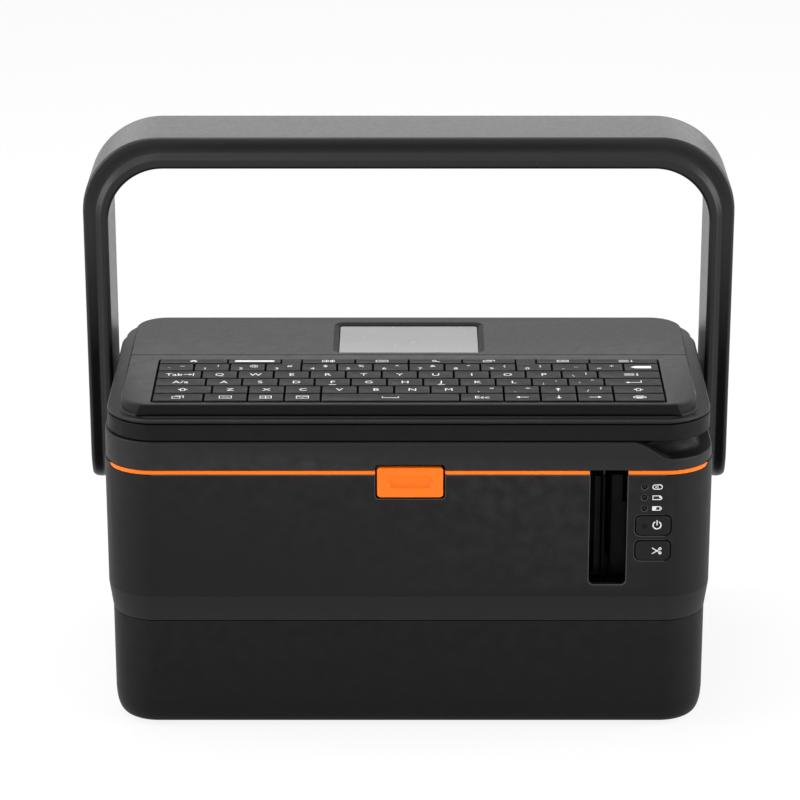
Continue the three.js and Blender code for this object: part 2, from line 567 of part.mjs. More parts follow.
/** Tools for the battery's opening and for the rebate of its door. */
function doorOpening() {
  const [width, depth] = [DOOR_WIDTH - 2 * DOOR_LEDGE, DOOR_DEPTH - 2 * DOOR_LEDGE];
  return [
    block(BATTERY_X, 0, TRAY_BOTTOM, width, depth, 2 * (TRAY_FLOOR + LIFT)),
    block(BATTERY_X, 0, TRAY_BOTTOM, DOOR_WIDTH, DOOR_DEPTH, 2 * (DOOR_THICK + FIT)),
  ];
}

/** A rubber foot, from the surface up into its recess. */
function foot() {
  const top = FOOT_HEIGHT + FOOT_SEAT - FIT;
  return lathe([
    [0, 0],
    [FOOT_RADIUS - FOOT_EDGE.width, 0],
    [FOOT_RADIUS, FOOT_EDGE.height],
    [FOOT_RADIUS, top],
    [0, top],
  ]);
}

/** Battery door with its thumb grooves, flush with the tray's underside. */
function batteryDoor() {
  const depth = DOOR_DEPTH - 2 * FIT;
  const plate = block(BATTERY_X, 0, TRAY_BOTTOM + DOOR_THICK / 2, DOOR_WIDTH - 2 * FIT, depth, DOOR_THICK);
  const grooves = [];
  for (let i = 0; i < DOOR_GRIP.count; i++) {
    const y = depth / 2 - DOOR_GRIP.edge - DOOR_GRIP.pitch * i;
    grooves.push(block(BATTERY_X, y, TRAY_BOTTOM, DOOR_GRIP.width, DOOR_GRIP.height, 2 * DOOR_GRIP.depth));
  }
  return cut(plate, ...grooves);
}

/** Rechargeable pack, on the door, with a terminal block above the floor at one end. */
function batteryPack() {
  const bottom = TRAY_BOTTOM + DOOR_THICK + FIT;
  const outline = roundedRectangle(BATTERY.width, BATTERY.depth, BATTERY.corner);
  const pack = extrude(outline, bottom, bottom + BATTERY.height, { inset: BATTERY.edge, curve: SOFT_STEPS });
  const terminals = box(
    BATTERY_X - TERMINALS.width / 2, BATTERY_X + TERMINALS.width / 2,
    BATTERY.depth / 2, BATTERY.depth / 2 + TERMINALS.depth,
    bottom + TERMINALS.low, bottom + TERMINALS.high,
  );
  return join(toSolid(pack.translate(BATTERY_X, 0, 0)), terminals);
}

// ---------------------------------------------------------------- electronics in the tray

/** A box on the main board's rear edge with its face in the tray's rear wall, widened by a gap. */
function socketBox({ x, width, depth, height }, gap = 0, overrun = 0) {
  const middle = BOARD_X + x;
  return box(
    middle - width / 2 - gap, middle + width / 2 + gap, SOCKET_FACE - depth, SOCKET_FACE + overrun,
    SOCKET_BOTTOM - gap, SOCKET_BOTTOM + height + gap,
  );
}

/** Holes in the tray's rear wall for the two sockets. */
function socketHoles() {
  return [POWER_INLET, DATA_SOCKET].map((socket) => socketBox({ ...socket, depth: WALL + LIFT }, FIT, LIFT));
}

/** Circuit board with its chips, capacitors and a cable header. */
function mainBoard() {
  const top = BOARD_Z + BOARD.thick;
  const plate = block(BOARD_X, BOARD_Y, BOARD_Z + BOARD.thick / 2, BOARD.width, BOARD.depth, BOARD.thick);
  const chips = CHIPS.map(({ x, y, width, depth, height }) =>
    block(BOARD_X + x, BOARD_Y + y, top + (height - SOLDER) / 2, width, depth, height + SOLDER),
  );
  const capacitors = [];
  for (let i = 0; i < CAPACITORS.count; i++) {
    const [x, y] = [BOARD_X + CAPACITORS.x + CAPACITORS.pitch * i, BOARD_Y + CAPACITORS.y];
    capacitors.push(rodZ(CAPACITORS.radius, x, y, top - SOLDER, top + CAPACITORS.height, SIDES.tiny));
  }
  return join(plate, ...chips, ...capacitors);
}

/** Barrel inlet: a block with a round well and a centre pin. */
function powerInlet() {
  const [x, z] = [BOARD_X + POWER_INLET.x, SOCKET_BOTTOM + POWER_INLET.height / 2];
  const floor = SOCKET_FACE - POWER_INLET.reach;
  const well = rodY(POWER_INLET.well, x, floor, SOCKET_FACE + LIFT, z);
  const pin = rodY(POWER_INLET.pin, x, floor - ROOT, SOCKET_FACE - POWER_INLET.sunk, z, SIDES.tiny);
  return join(cut(socketBox(POWER_INLET), well), pin);
}

/** Square data socket: a shell with a tongue inside. */
function dataSocket() {
  const [x, z] = [BOARD_X + DATA_SOCKET.x, SOCKET_BOTTOM + DATA_SOCKET.height / 2];
  const floor = SOCKET_FACE - DATA_SOCKET.reach;
  const [across, tall] = [DATA_SOCKET.mouth / 2, DATA_SOCKET.tall / 2];
  const well = box(x - across, x + across, floor, SOCKET_FACE + LIFT, z - tall, z + tall);
  const tip = SOCKET_FACE - DATA_TONGUE.sunk;
  const tongue = box(
    x - DATA_TONGUE.width / 2, x + DATA_TONGUE.width / 2, floor - ROOT, tip,
    z - DATA_TONGUE.height / 2, z + DATA_TONGUE.height / 2,
  );
  return join(cut(socketBox(DATA_SOCKET), well), tongue);
}

// ---------------------------------------------------------------- main case

/** A tool that cuts upwards through the front wall, open at the seam. */
function frontNotch(left, right, bottom) {
  return box(left, right, FRONT - LIFT, INNER_FRONT + LIFT, bottom, HOUSING_TOP + LIFT);
}

/** Housing: four walls with the deck posts, the hinge ears and every opening of the front panel. */
function midHousing() {
  const edge = { inset: TRAY_INSET, rise: SLOPE_HEIGHT, steps: 1 };
  const narrow = WALL + TRAY_INSET;
  const [slopeTop, high] = [HOUSING_BOTTOM + SLOPE_HEIGHT, HOUSING_TOP + LIFT];
  const reach = RIGHT + LIFT;
  const shell = cut(
    bowl(BODY_WIDTH, BODY_DEPTH, CORNER, HOUSING_BOTTOM, HOUSING_TOP, edge),
    insetSlab(narrow, HOUSING_BOTTOM - LIFT, slopeTop + ROOT),
    insetSlab(WALL, slopeTop, high),
    box(-reach, reach, HINGE_Y - REAR_LEAD, BACK + LIFT, HOUSING_TOP - REAR_DROP, high),
    box(-reach, reach, FRONT - LIFT, TRIM_END + FIT, TRIM_BOTTOM - FIT, high),
  );
  const walls = join(shell, ...deckLedges(), hingeEar(-1), hingeEar(1));
  return cut(walls, ...sideHoles(), ...frontHoles(), rearHole());
}

/** The case's plan outline, drawn in by a margin, between two heights. */
function insetSlab(margin, z0, z1) {
  return slab(BODY_WIDTH - 2 * margin, BODY_DEPTH - 2 * margin, CORNER - margin, z0, z1);
}

/** Posts on the side walls that carry the deck. */
function deckLedges() {
  const inside = RIGHT - WALL;
  const [low, high] = [HOUSING_BOTTOM + LEDGE.rise, DECK_Z - FIT];
  return [-1, 1].flatMap((side) =>
    [-POST_Y, POST_Y].map((y) =>
      block(
        side * (inside + (LEDGE.root - LEDGE.reach) / 2), y, (low + high) / 2,
        LEDGE.reach + LEDGE.root, LEDGE.width, high - low,
      ),
    ),
  );
}

/** Holes of the handle pivots and of the hinge pins. */
function sideHoles() {
  return [-1, 1].flatMap((side) => {
    const [wall, ear] = [side * (RIGHT - WALL / 2), side * HINGE_X];
    return [
      rodX(PIVOT_RADIUS + FIT, wall - LIFT, wall + LIFT, PIVOT_Y, PIVOT_Z),
      rodX(HINGE_PIN + FIT, ear - EAR_WIDTH, ear + EAR_WIDTH, HINGE_Y, HINGE_Z, SIDES.small),
    ];
  });
}

/** Openings of the exit slot, the buttons and the lights. */
function frontHoles() {
  const [front, rear] = [FRONT - LIFT, INNER_FRONT + LIFT];
  return [
    frontNotch(SLOT_LEFT, SLOT_RIGHT, SLOT_BOTTOM),
    frontNotch(RELEASE_X - RELEASE_HALF, RELEASE_X + RELEASE_HALF, RELEASE_BOTTOM - BUTTON_GAP),
    ...[POWER_Z, CUT_Z].map((z) =>
      panelPlate(
        PANEL_KEY_X, z, PANEL_KEY_WIDTH + 2 * RUN, PANEL_KEY_HEIGHT + 2 * RUN, PANEL_KEY_CORNER + RUN,
        front, rear,
      ),
    ),
    ...LIGHT_HEIGHTS.map((z) => rodY(LIGHT_RADIUS + FIT, LIGHT_X, front, rear, z, SIDES.small)),
  ];
}

/** Hole of the tube inlet. */
function rearHole() {
  const radius = TUBE_INLET_RADIUS + TUBE_INLET_SLEEVE + FIT;
  return rodY(radius, SLOT_MIDDLE, BACK - WALL - LIFT, BACK + LIFT, TUBE_INLET_Z);
}

/** One hinge ear: a stem up the inside of the rear wall with a barrel on top. */
function hingeEar(side) {
  const [x0, x1] = [side * HINGE_X - EAR_WIDTH / 2, side * HINGE_X + EAR_WIDTH / 2];
  const barrel = rodX(HINGE_BARREL, x0, x1, HINGE_Y, HINGE_Z);
  const stem = box(x0, x1, HINGE_Y - HINGE_BARREL, HINGE_Y + HINGE_BARREL, HOUSING_TOP - EAR_STEM, HINGE_Z);
  return join(barrel, stem);
}

/** A length of accent strip: the part of the front rim between two widths, ended on the corner arc. */
function trimStrip(left, right) {
  const inner = insetSlab(TRIM_DEPTH, TRIM_BOTTOM - LIFT, HOUSING_TOP + LIFT);
  const ring = cut(insetSlab(0, TRIM_BOTTOM, HOUSING_TOP), inner);
  return ring.intersect(box(left, right, FRONT - LIFT, TRIM_END, TRIM_BOTTOM - LIFT, HOUSING_TOP + LIFT));
}

/** The three strips: they stop short of the release button and of the exit slot. */
function trimStrips() {
  const reach = RIGHT + LIFT;
  return [
    piece("trim_left", trimStrip(-reach, RELEASE_X - RELEASE_HALF), accentOrange),
    piece("trim_centre", trimStrip(RELEASE_X + RELEASE_HALF, SLOT_LEFT - FIT), accentOrange),
    piece("trim_right", trimStrip(SLOT_RIGHT + FIT, reach), accentOrange),
  ];
}

/** Glossy chute behind the exit slot: floor, two sides and two upright ribs. */
function exitChute() {
  const [y0, y1] = [INNER_FRONT + FIT, INNER_FRONT + FIT + CHUTE_DEPTH];
  const [bottom, top] = [SLOT_BOTTOM - CHUTE_WALL, HOUSING_TOP - FIT];
  const outer = box(SLOT_LEFT - CHUTE_WALL, SLOT_RIGHT + CHUTE_WALL, y0, y1, bottom, top);
  const lane = box(SLOT_LEFT, SLOT_RIGHT, y0 - LIFT, y1 + LIFT, SLOT_BOTTOM, top + LIFT);
  const ribs = [RIB.first, RIB.first + RIB.pitch].map((x) =>
    box(SLOT_LEFT + x - RIB.thick / 2, SLOT_LEFT + x + RIB.thick / 2, y0 + RIB.setback, y1, bottom, top),
  );
  return join(cut(outer, lane), ...ribs);
}

/** Three light pins on a bar behind the front wall. */
function statusLights() {
  const [tip, y] = [FRONT - LIGHT_PROUD, INNER_FRONT + FIT];
  const pins = LIGHT_HEIGHTS.map((z) => rodY(LIGHT_RADIUS, LIGHT_X, tip, y + ROOT, z, SIDES.small));
  const bar = box(
    LIGHT_X - LIGHT_BAR.width / 2, LIGHT_X + LIGHT_BAR.width / 2, y, y + LIGHT_BAR.thick,
    LIGHT_HEIGHTS[0] - LIGHT_BAR.spare, LIGHT_HEIGHTS[2] + LIGHT_BAR.spare,
  );
  return join(bar, ...pins);
}

/** A sprung panel button: a rounded cap on a stem that reaches behind the wall. */
function panelButton(z) {
  const [front, rear] = [FRONT - PANEL_KEY_PROUD, INNER_FRONT + PANEL_KEY_SKIRT];
  const face = panelPlate(
    PANEL_KEY_X, z, PANEL_KEY_WIDTH, PANEL_KEY_HEIGHT, PANEL_KEY_CORNER, front, rear,
    { inset: PANEL_KEY_PROUD, steps: EDGE_STEPS },
  );
  const stem = box(
    PANEL_KEY_X - PANEL_KEY_STEM.width / 2, PANEL_KEY_X + PANEL_KEY_STEM.width / 2,
    INNER_FRONT, INNER_FRONT + PANEL_KEY_STEM.reach,
    z - PANEL_KEY_STEM.height / 2, z + PANEL_KEY_STEM.height / 2,
  );
  return join(face, stem);
}

/** Release button: a cap with a dished face, on a slide with a catch nose. */
function releaseButton() {
  const z = RELEASE_BOTTOM + RELEASE_HEIGHT / 2;
  const front = FRONT - FRONT_PROUD;
  const face = panelPlate(
    RELEASE_X, z, RELEASE_WIDTH, RELEASE_HEIGHT, RELEASE_CORNER, front, INNER_FRONT + RUN,
    { inset: FRONT_PROUD, steps: EDGE_STEPS },
  );
  const { width, height, depth } = RELEASE_DISH;
  const dish = panelPlate(
    RELEASE_X, z, width, height, height / 2, front - LIFT, front + depth, { inset: depth },
  );
  const rear = CATCH_BACK + RELEASE_SLIDE.reach;
  const slide = box(
    RELEASE_X - RELEASE_SLIDE.width / 2, RELEASE_X + RELEASE_SLIDE.width / 2, INNER_FRONT, rear,
    RELEASE_BOTTOM + RELEASE_SLIDE.low, RELEASE_BOTTOM + RELEASE_SLIDE.high,
  );
  const nose = box(
    RELEASE_X - RELEASE_NOSE.width / 2, RELEASE_X + RELEASE_NOSE.width / 2, CATCH_BACK + RUN, rear,
    RELEASE_BOTTOM + RELEASE_NOSE.low, CATCH_BOTTOM + CATCH.bite,
  );
  return join(cut(face, dish), slide, nose);
}

/** Bush round the tube inlet: its lip stands proud of the rear wall and its flange lies inside. */
function tubeInlet() {
  const sleeve = TUBE_INLET_RADIUS + TUBE_INLET_SLEEVE;
  const flange = TUBE_INLET_RADIUS + TUBE_INLET_FLANGE.reach;
  const inside = -WALL - FIT - FRONT_PROUD;
  const end = inside - TUBE_INLET_FLANGE.thick;
  const profile = [
    [TUBE_INLET_RADIUS, end],
    [flange, end],
    [flange, inside],
    [sleeve, inside],
    [sleeve, -TUBE_INLET_EDGE.outer],
    [sleeve - TUBE_INLET_EDGE.outer, 0],
    [TUBE_INLET_RADIUS + TUBE_INLET_EDGE.mouth, 0],
    [TUBE_INLET_RADIUS, -TUBE_INLET_EDGE.mouth],
    [TUBE_INLET_RADIUS, end],
  ].map(([r, y]) => new THREE.Vector2(r, y));
  const ring = new THREE.LatheGeometry(profile, SIDES.large);
  return toSolid(ring.translate(SLOT_MIDDLE, BACK + FRONT_PROUD, TUBE_INLET_Z));
}

// ---------------------------------------------------------------- print mechanism

/** Distance between the axes of two meshing gears. */
function gearCentres(teethA, teethB) {
  return (GEAR_MODULE * (teethA + teethB)) / 2;
}

/** Outline of a spur gear whose first tooth points along +X. */
function gearOutline(teeth, bore) {
  const pitch = (GEAR_MODULE * teeth) / 2;
  const step = (2 * Math.PI) / teeth;
  const profile = [
    [pitch - TOOTH.root * GEAR_MODULE, -TOOTH.rootShare],
    [pitch + TOOTH.tip * GEAR_MODULE, -TOOTH.tipShare],
    [pitch + TOOTH.tip * GEAR_MODULE, TOOTH.tipShare],
    [pitch - TOOTH.root * GEAR_MODULE, TOOTH.rootShare],
  ];
  const shape = new THREE.Shape();
  for (let tooth = 0; tooth < teeth; tooth++) {
    profile.forEach(([radius, share], corner) => {
      const angle = (tooth + share) * step;
      const draw = tooth + corner === 0 ? "moveTo" : "lineTo";
      shape[draw](radius * Math.cos(angle), radius * Math.sin(angle));
    });
  }
  shape.holes.push(new THREE.Path().absarc(0, 0, bore, 0, 2 * Math.PI, true));
  return shape;
}

/** A spur gear about its own axis, turned so that its teeth meet those of its driver. */
function gear(teeth, bore, turn) {
  return toSolid(extrude(gearOutline(teeth, bore), 0, GEAR_THICK, { curve: ARC_STEPS + 1 }).rotateZ(turn));
}

/** Turn that puts a gap of the second gear opposite a tooth of the first along a direction. */
function meshTurn(teeth, direction) {
  return direction + Math.PI + Math.PI / teeth;
}

/** Turn of the pinion that puts its gap or tooth opposite the idler's along their line of centres. */
function pinionPhase(idlerTurn) {
  const share = ((PINION_ANGLE - idlerTurn) / (2 * Math.PI)) * IDLER_TEETH; // idler teeth up to that line
  const offset = share - Math.round(share); // how far past a tooth the line lies
  return PINION_ANGLE + Math.PI + ((0.5 + offset) * 2 * Math.PI) / PINION_TEETH;
}

/** Deck plate on the housing's posts, with shaft holes, the idler stub and the motor hangers. */
function chassisDeck() {
  const front = CUTTER_Y - CUTTER_GAP;
  const back = BACK - WALL - DECK_MARGIN;
  const width = BODY_WIDTH - 2 * (WALL + DECK_MARGIN);
  const plate = slab(width, back - front, CORNER - WALL - DECK_MARGIN, DECK_Z, DECK_TOP, (front + back) / 2);
  const stub = rodZ(STUB_RADIUS, IDLER_X, IDLER_Y, GEAR_Z - RUN, DECK_Z + ROOT, SIDES.small);
  const [low, high] = [FLANGE_TOP + FIT, DECK_Z + ROOT];
  const hangers = [-1, 1].map((side) =>
    block(
      MOTOR_X + HANGER.shift, MOTOR_Y + side * HANGER.spread, (low + high) / 2,
      HANGER.width, HANGER.depth, high - low,
    ),
  );
  const holes = [
    rodZ(SHAFT_RADIUS + RUN, ROLLER_X, ROLLER_Y, DECK_Z - LIFT, DECK_TOP + LIFT, SIDES.small),
    rodZ(SERVICE_HOLE, MOTOR_X, MOTOR_Y, DECK_Z - LIFT, DECK_TOP + LIFT, SIDES.small),
    slab(
      CABLE_SLOT.width, CABLE_SLOT.depth, CABLE_SLOT.corner, DECK_Z - LIFT, DECK_TOP + LIFT,
      BACK - CABLE_SLOT.back, SOFT_STEPS,
    ),
  ];
  return cut(join(plate, stub, ...hangers), ...holes);
}

/** Motor can with its flange plate, hung under the deck. */
function driveMotor() {
  const [bottom, under] = [MOTOR_BOTTOM, FLANGE_TOP - MOTOR_FLANGE.thick];
  const can = rodZ(MOTOR.radius, MOTOR_X, MOTOR_Y, bottom, under + ROOT, SIDES.large);
  const flange = box(
    MOTOR_X - MOTOR_FLANGE.width / 2, MOTOR_X + MOTOR_FLANGE.width / 2,
    MOTOR_Y - MOTOR_FLANGE.depth / 2, MOTOR_Y + MOTOR_FLANGE.depth / 2, under, FLANGE_TOP,
  );
  const shaft = rodZ(MOTOR.shaft, MOTOR_X, MOTOR_Y, under, GEAR_TOP - RUN, SIDES.tiny);
  const endCap = rodZ(MOTOR.cap, MOTOR_X, MOTOR_Y, bottom - MOTOR.capHeight, bottom + ROOT, SIDES.small);
  return join(can, flange, shaft, endCap);
}

/** Rubber roller on its steel shaft, about its own axis. */
function platenRoller() {
  const low = ON_DECK + ROLLER_RISE;
  return lathe([
    [0, GEAR_Z - JOURNAL.lower],
    [SHAFT_RADIUS, GEAR_Z - JOURNAL.lower],
    [SHAFT_RADIUS, low],
    [ROLLER_RADIUS - ROLLER_EDGE, low],
    [ROLLER_RADIUS, low + ROLLER_EDGE],
    [ROLLER_RADIUS, ROLLER_TOP - ROLLER_EDGE],
    [ROLLER_RADIUS - ROLLER_EDGE, ROLLER_TOP],
    [SHAFT_RADIUS, ROLLER_TOP],
    [SHAFT_RADIUS, ROLLER_TOP + JOURNAL.upper],
    [0, ROLLER_TOP + JOURNAL.upper],
  ]);
}

/** Bracket that stands beside the roller and holds its upper shaft end. */
function rollerHolder() {
  const [bottom, top] = [ROLLER_TOP + RUN, ROLLER_TOP + RUN + HOLDER.plate];
  const x0 = ROLLER_X + ROLLER_RADIUS + HOLDER.gap;
  const [y0, y1] = [ROLLER_Y - HOLDER.depth / 2, ROLLER_Y + HOLDER.depth / 2];
  const back = box(x0, x0 + HOLDER.thick, y0, y1, ON_DECK, top);
  const base = box(x0, x0 + HOLDER.foot, y0, y1, ON_DECK, ON_DECK + HOLDER.plate);
  const arm = box(
    ROLLER_X - HOLDER.reach, x0 + ROOT, ROLLER_Y - HOLDER.arm / 2, ROLLER_Y + HOLDER.arm / 2, bottom, top,
  );
  const hole = rodZ(SHAFT_RADIUS + RUN, ROLLER_X, ROLLER_Y, bottom - LIFT, top + LIFT, SIDES.small);
  return cut(join(back, arm, base, holderGusset(x0 + ROOT, ON_DECK + ROOT)), hole);
}

/** Gusset between the back and the foot of the roller bracket, from its square corner. */
function holderGusset(x, z) {
  const shape = polygon([x, z], [x + GUSSET.length, z], [x, z + GUSSET.height]);
  return frontPrism(shape, ROLLER_Y - GUSSET.thick / 2, ROLLER_Y + GUSSET.thick / 2);
}

/** Thermal head: a ceramic strip with its driver step and connector. */
function printHead() {
  const [left, half] = [HEAD_X - HEAD.thick, HEAD.depth / 2];
  const plate = box(left, HEAD_X, ROLLER_Y - half, ROLLER_Y + half, ON_DECK + HEAD.rise, HEAD_TOP);
  const connector = box(
    left, HEAD_X + HEAD_CONNECTOR.proud, ROLLER_Y + half - HEAD_CONNECTOR.depth, ROLLER_Y + half,
    ON_DECK + HEAD_CONNECTOR.margin, HEAD_TOP - HEAD_CONNECTOR.margin,
  );
  return join(plate, connector);
}

/** Finned heat sink behind the head, on a foot screwed to the deck. */
function heatSink() {
  const half = HEAD.depth / 2;
  const body = box(SINK_LEFT, SINK_RIGHT, ROLLER_Y - half, ROLLER_Y + half, ON_DECK, ROLLER_TOP);
  const grooves = [];
  for (let i = 0; i < SINK.fins; i++) {
    const y = ROLLER_Y + (i - (SINK.fins - 1) / 2) * SINK.pitch;
    const [y0, y1] = [y - SINK.groove / 2, y + SINK.groove / 2];
    grooves.push(box(SINK_LEFT - LIFT, SINK_LEFT + SINK.depth, y0, y1, DECK_Z, LID_TOP));
  }
  const base = box(
    SINK_LEFT - SINK.foot, SINK_RIGHT, ROLLER_Y - half, ROLLER_Y + half, ON_DECK, ON_DECK + SINK.footThick,
  );
  return join(cut(body, ...grooves), base);
}

/** Fixed blade with its foot. */
function cutterAnvil() {
  const [edge, top] = [HEAD_X - BLADE.lap, HEAD_TOP + BLADE.over];
  const blade = box(edge - BLADE.width, edge, CUTTER_Y, CUTTER_Y + BLADE.thick, ON_DECK, top);
  const footRight = KNIFE_X - CUTTER_TRAVEL - RUN;
  const base = box(
    HEAD_X - ANVIL_FOOT.left, footRight, CUTTER_Y, CUTTER_Y + ANVIL_FOOT.depth,
    ON_DECK, ON_DECK + ANVIL_FOOT.thick,
  );
  return join(blade, base);
}

/** Moving blade: an upright edge on a foot that runs on the deck. */
function cutterBlade() {
  const [right, back] = [KNIFE_X + KNIFE.width, KNIFE_Y + BLADE.thick];
  const edge = polygon([KNIFE_X, KNIFE_Y], [right, KNIFE_Y], [right, back], [KNIFE_X + KNIFE.bevel, back]);
  const blade = toSolid(extrude(edge, ON_DECK, HEAD_TOP + BLADE.over));
  const [left, top] = [KNIFE_X + CARRIER.left, ON_DECK + CARRIER.height];
  const carrier = box(left, left + CARRIER.width, KNIFE_Y, back + KNIFE.extra, ON_DECK, top);
  return join(blade, carrier);
}

/** A cassette whose right side is given: a rounded case with spool hubs and a label recess. */
function cassette(right, { width, height }) {
  const { depth, corner, edge, hub, hubInset, lead } = CASSETTE;
  const [x, y, top] = [right - width / 2, ROLLER_Y + lead + depth / 2, ON_DECK + height];
  const labelY = y + (depth - CASSETTE_LABEL.depth) / 2 - CASSETTE_LABEL.rear;
  const outline = roundedRectangle(width, depth, corner);
  const body = toSolid(extrude(outline, ON_DECK, top, { inset: edge, curve: SOFT_STEPS }).translate(x, y, 0));
  const hubs = [-1, 1].map((side) =>
    rodZ(hub, x + side * (width / 2 - hubInset), y, ON_DECK - LIFT, top + LIFT, SIDES.small),
  );
  const [across, along] = [width - 2 * CASSETTE_LABEL.side, CASSETTE_LABEL.depth];
  const label = block(x, labelY, top, across, along, 2 * CASSETTE_LABEL.sunk);
  return cut(body, ...hubs, label);
}

/** Label tape cassette with the arm that leads the tape to the head. */
function tapeCassette() {
  const arm = box(
    CASSETTE_RIGHT - TAPE_ARM.width, CASSETTE_RIGHT,
    ROLLER_Y - TAPE_ARM.front, ROLLER_Y + CASSETTE.lead + TAPE_ARM.root,
    ON_DECK + TAPE_ARM.low, ON_DECK + TAPE_ARM.high,
  );
  return join(cassette(CASSETTE_RIGHT, TAPE_CASSETTE), arm);
}

/** Ribbon cassette for marking tube, left of the tape cassette. */
function ribbonCassette() {
  return cassette(CASSETTE_RIGHT - TAPE_CASSETTE.width - CASSETTE.gap, RIBBON_CASSETTE);
}

// ---------------------------------------------------------------- lid

/** Tool for the finger scoop: a band along the corner, sloped at both ends. */
function scoopTool() {
  const [floor, high] = [LID_TOP - SCOOP_HEIGHT, LID_TOP + LIFT];
  const band = cut(insetSlab(-LIFT, floor, high), insetSlab(SCOOP_DEPTH, floor - LIFT, high + LIFT));
  const turn = FRONT + CORNER + SCOOP_TURN;
  const lip = LID_TOP + PAST;
  const front = frontPrism(
    polygon(
      [SCOOP_LEFT, lip], [SCOOP_LEFT + SCOOP_SLANT, floor], [BODY_WIDTH, floor],
      [BODY_WIDTH, high], [SCOOP_LEFT, high],
    ),
    FRONT - 2 * LIFT,
    turn,
  );
  const side = sidePrism(
    polygon(
      [turn - ROOT, floor], [SCOOP_REAR - SCOOP_SLANT, floor], [SCOOP_REAR, lip], [SCOOP_REAR, high],
      [turn - ROOT, high],
    ),
    RIGHT - SCOOP_DEPTH - LIFT,
    BODY_WIDTH,
  );
  return band.intersect(join(front, side));
}

/** Solid corner that the scoop is cut into, so that its back and floor are closed. */
function scoopBlock() {
  const floor = LID_TOP - SCOOP_HEIGHT;
  const deep = SCOOP_DEPTH + WALL;
  const outline = insetSlab(WALL / 2, floor - SCOOP_FLOOR, LID_TOP - ROOT);
  const inner = insetSlab(deep, floor - LIFT, LID_TOP + LIFT);
  const region = box(
    SCOOP_LEFT - SCOOP_MARGIN.left, BODY_WIDTH, FRONT, SCOOP_REAR + SCOOP_MARGIN.rear, 0, LID_TOP,
  );
  return cut(outline, inner).intersect(region);
}

/** Lid: a shallow shell with the scoop, the button notch, the catch lug and the hinge knuckles. */
function topLid() {
  const edge = { inset: LID_EDGE, rise: LID_EDGE, steps: EDGE_STEPS };
  const outer = cap(LID_WIDTH, BODY_DEPTH, CORNER, LID_BOTTOM, LID_TOP, edge);
  const inner = slab(LID_WIDTH - 2 * WALL, BODY_DEPTH - 2 * WALL, CORNER - WALL, LID_BOTTOM - LIFT, LID_ROOF);
  const lug = box(
    RELEASE_X - CATCH.width / 2, RELEASE_X + CATCH.width / 2, CATCH_FRONT, CATCH_BACK,
    CATCH_BOTTOM, LID_ROOF + ROOT,
  );
  const notch = box(
    RELEASE_X - RELEASE_HALF, RELEASE_X + RELEASE_HALF, FRONT - LIFT, INNER_FRONT + PAST,
    LID_BOTTOM - LIFT, RELEASE_TOP + BUTTON_GAP,
  );
  const tools = [-1, 1].flatMap((side) => hingeTools(side * HINGE_X));
  const knuckles = [-1, 1].flatMap((side) => hingeKnuckles(side * HINGE_X));
  return cut(join(cut(outer, inner), scoopBlock(), lug, ...knuckles), ...tools, notch, scoopTool());
}

/** Pin hole of one hinge and the room for its ear. */
function hingeTools(x) {
  const reach = EAR_WIDTH / 2 + FIT + KNUCKLE_WIDTH + LIFT;
  return [
    rodX(HINGE_PIN + RUN, x - reach, x + reach, HINGE_Y, HINGE_Z, SIDES.small),
    box(
      x - EAR_WIDTH / 2 - FIT, x + EAR_WIDTH / 2 + FIT, HINGE_Y - HINGE_BARREL - 2 * ROOT, BACK + LIFT,
      LID_BOTTOM - LIFT, HINGE_Z + HINGE_BARREL + ROOT,
    ),
  ];
}

/** The two knuckles of one hinge, hung from the roof. */
function hingeKnuckles(middle) {
  return [-1, 1].map((end) => {
    const x = middle + end * (EAR_WIDTH / 2 + FIT + KNUCKLE_WIDTH / 2);
    const [x0, x1] = [x - KNUCKLE_WIDTH / 2, x + KNUCKLE_WIDTH / 2];
    const web = box(x0, x1, HINGE_Y - HINGE_BARREL, HINGE_Y + HINGE_BARREL, HINGE_Z, LID_ROOF + ROOT);
    return join(rodX(HINGE_BARREL, x0, x1, HINGE_Y, HINGE_Z), web);
  });
}

/** Steel pin through one hinge. */
function hingePin(side) {
  const reach = EAR_WIDTH / 2 + FIT + KNUCKLE_WIDTH - RUN;
  return rodX(HINGE_PIN, side * HINGE_X - reach, side * HINGE_X + reach, HINGE_Y, HINGE_Z, SIDES.small);
}

// ---------------------------------------------------------------- keyboard unit

/** Lower half of the keyboard case, with posts for its board. */
function keyboardLowerCase() {
  const outer = slab(KEYBOARD_WIDTH, KEYBOARD_DEPTH, CORNER, CASE_BOTTOM, CASE_TOP, KEYBOARD_Y);
  const [width, depth] = [KEYBOARD_WIDTH - 2 * WALL, KEYBOARD_DEPTH - 2 * WALL];
  const inner = slab(width, depth, CORNER - WALL, CASE_BOTTOM + WALL, CASE_TOP + LIFT, KEYBOARD_Y);
  const [low, high] = [CASE_BOTTOM + ROOT, PCB_TOP - BOARD.thick - FIT];
  const rows = [FIELD_FRONT + PCB_POST.front, WINDOW_BACK - PCB_POST.rear];
  const posts = [-FIELD_WIDTH / 2, 0, FIELD_WIDTH / 2].flatMap((x) =>
    rows.map((y) => rodZ(PCB_POST.radius, x, y, low, high, SIDES.tiny)),
  );
  return join(cut(outer, inner), ...posts);
}

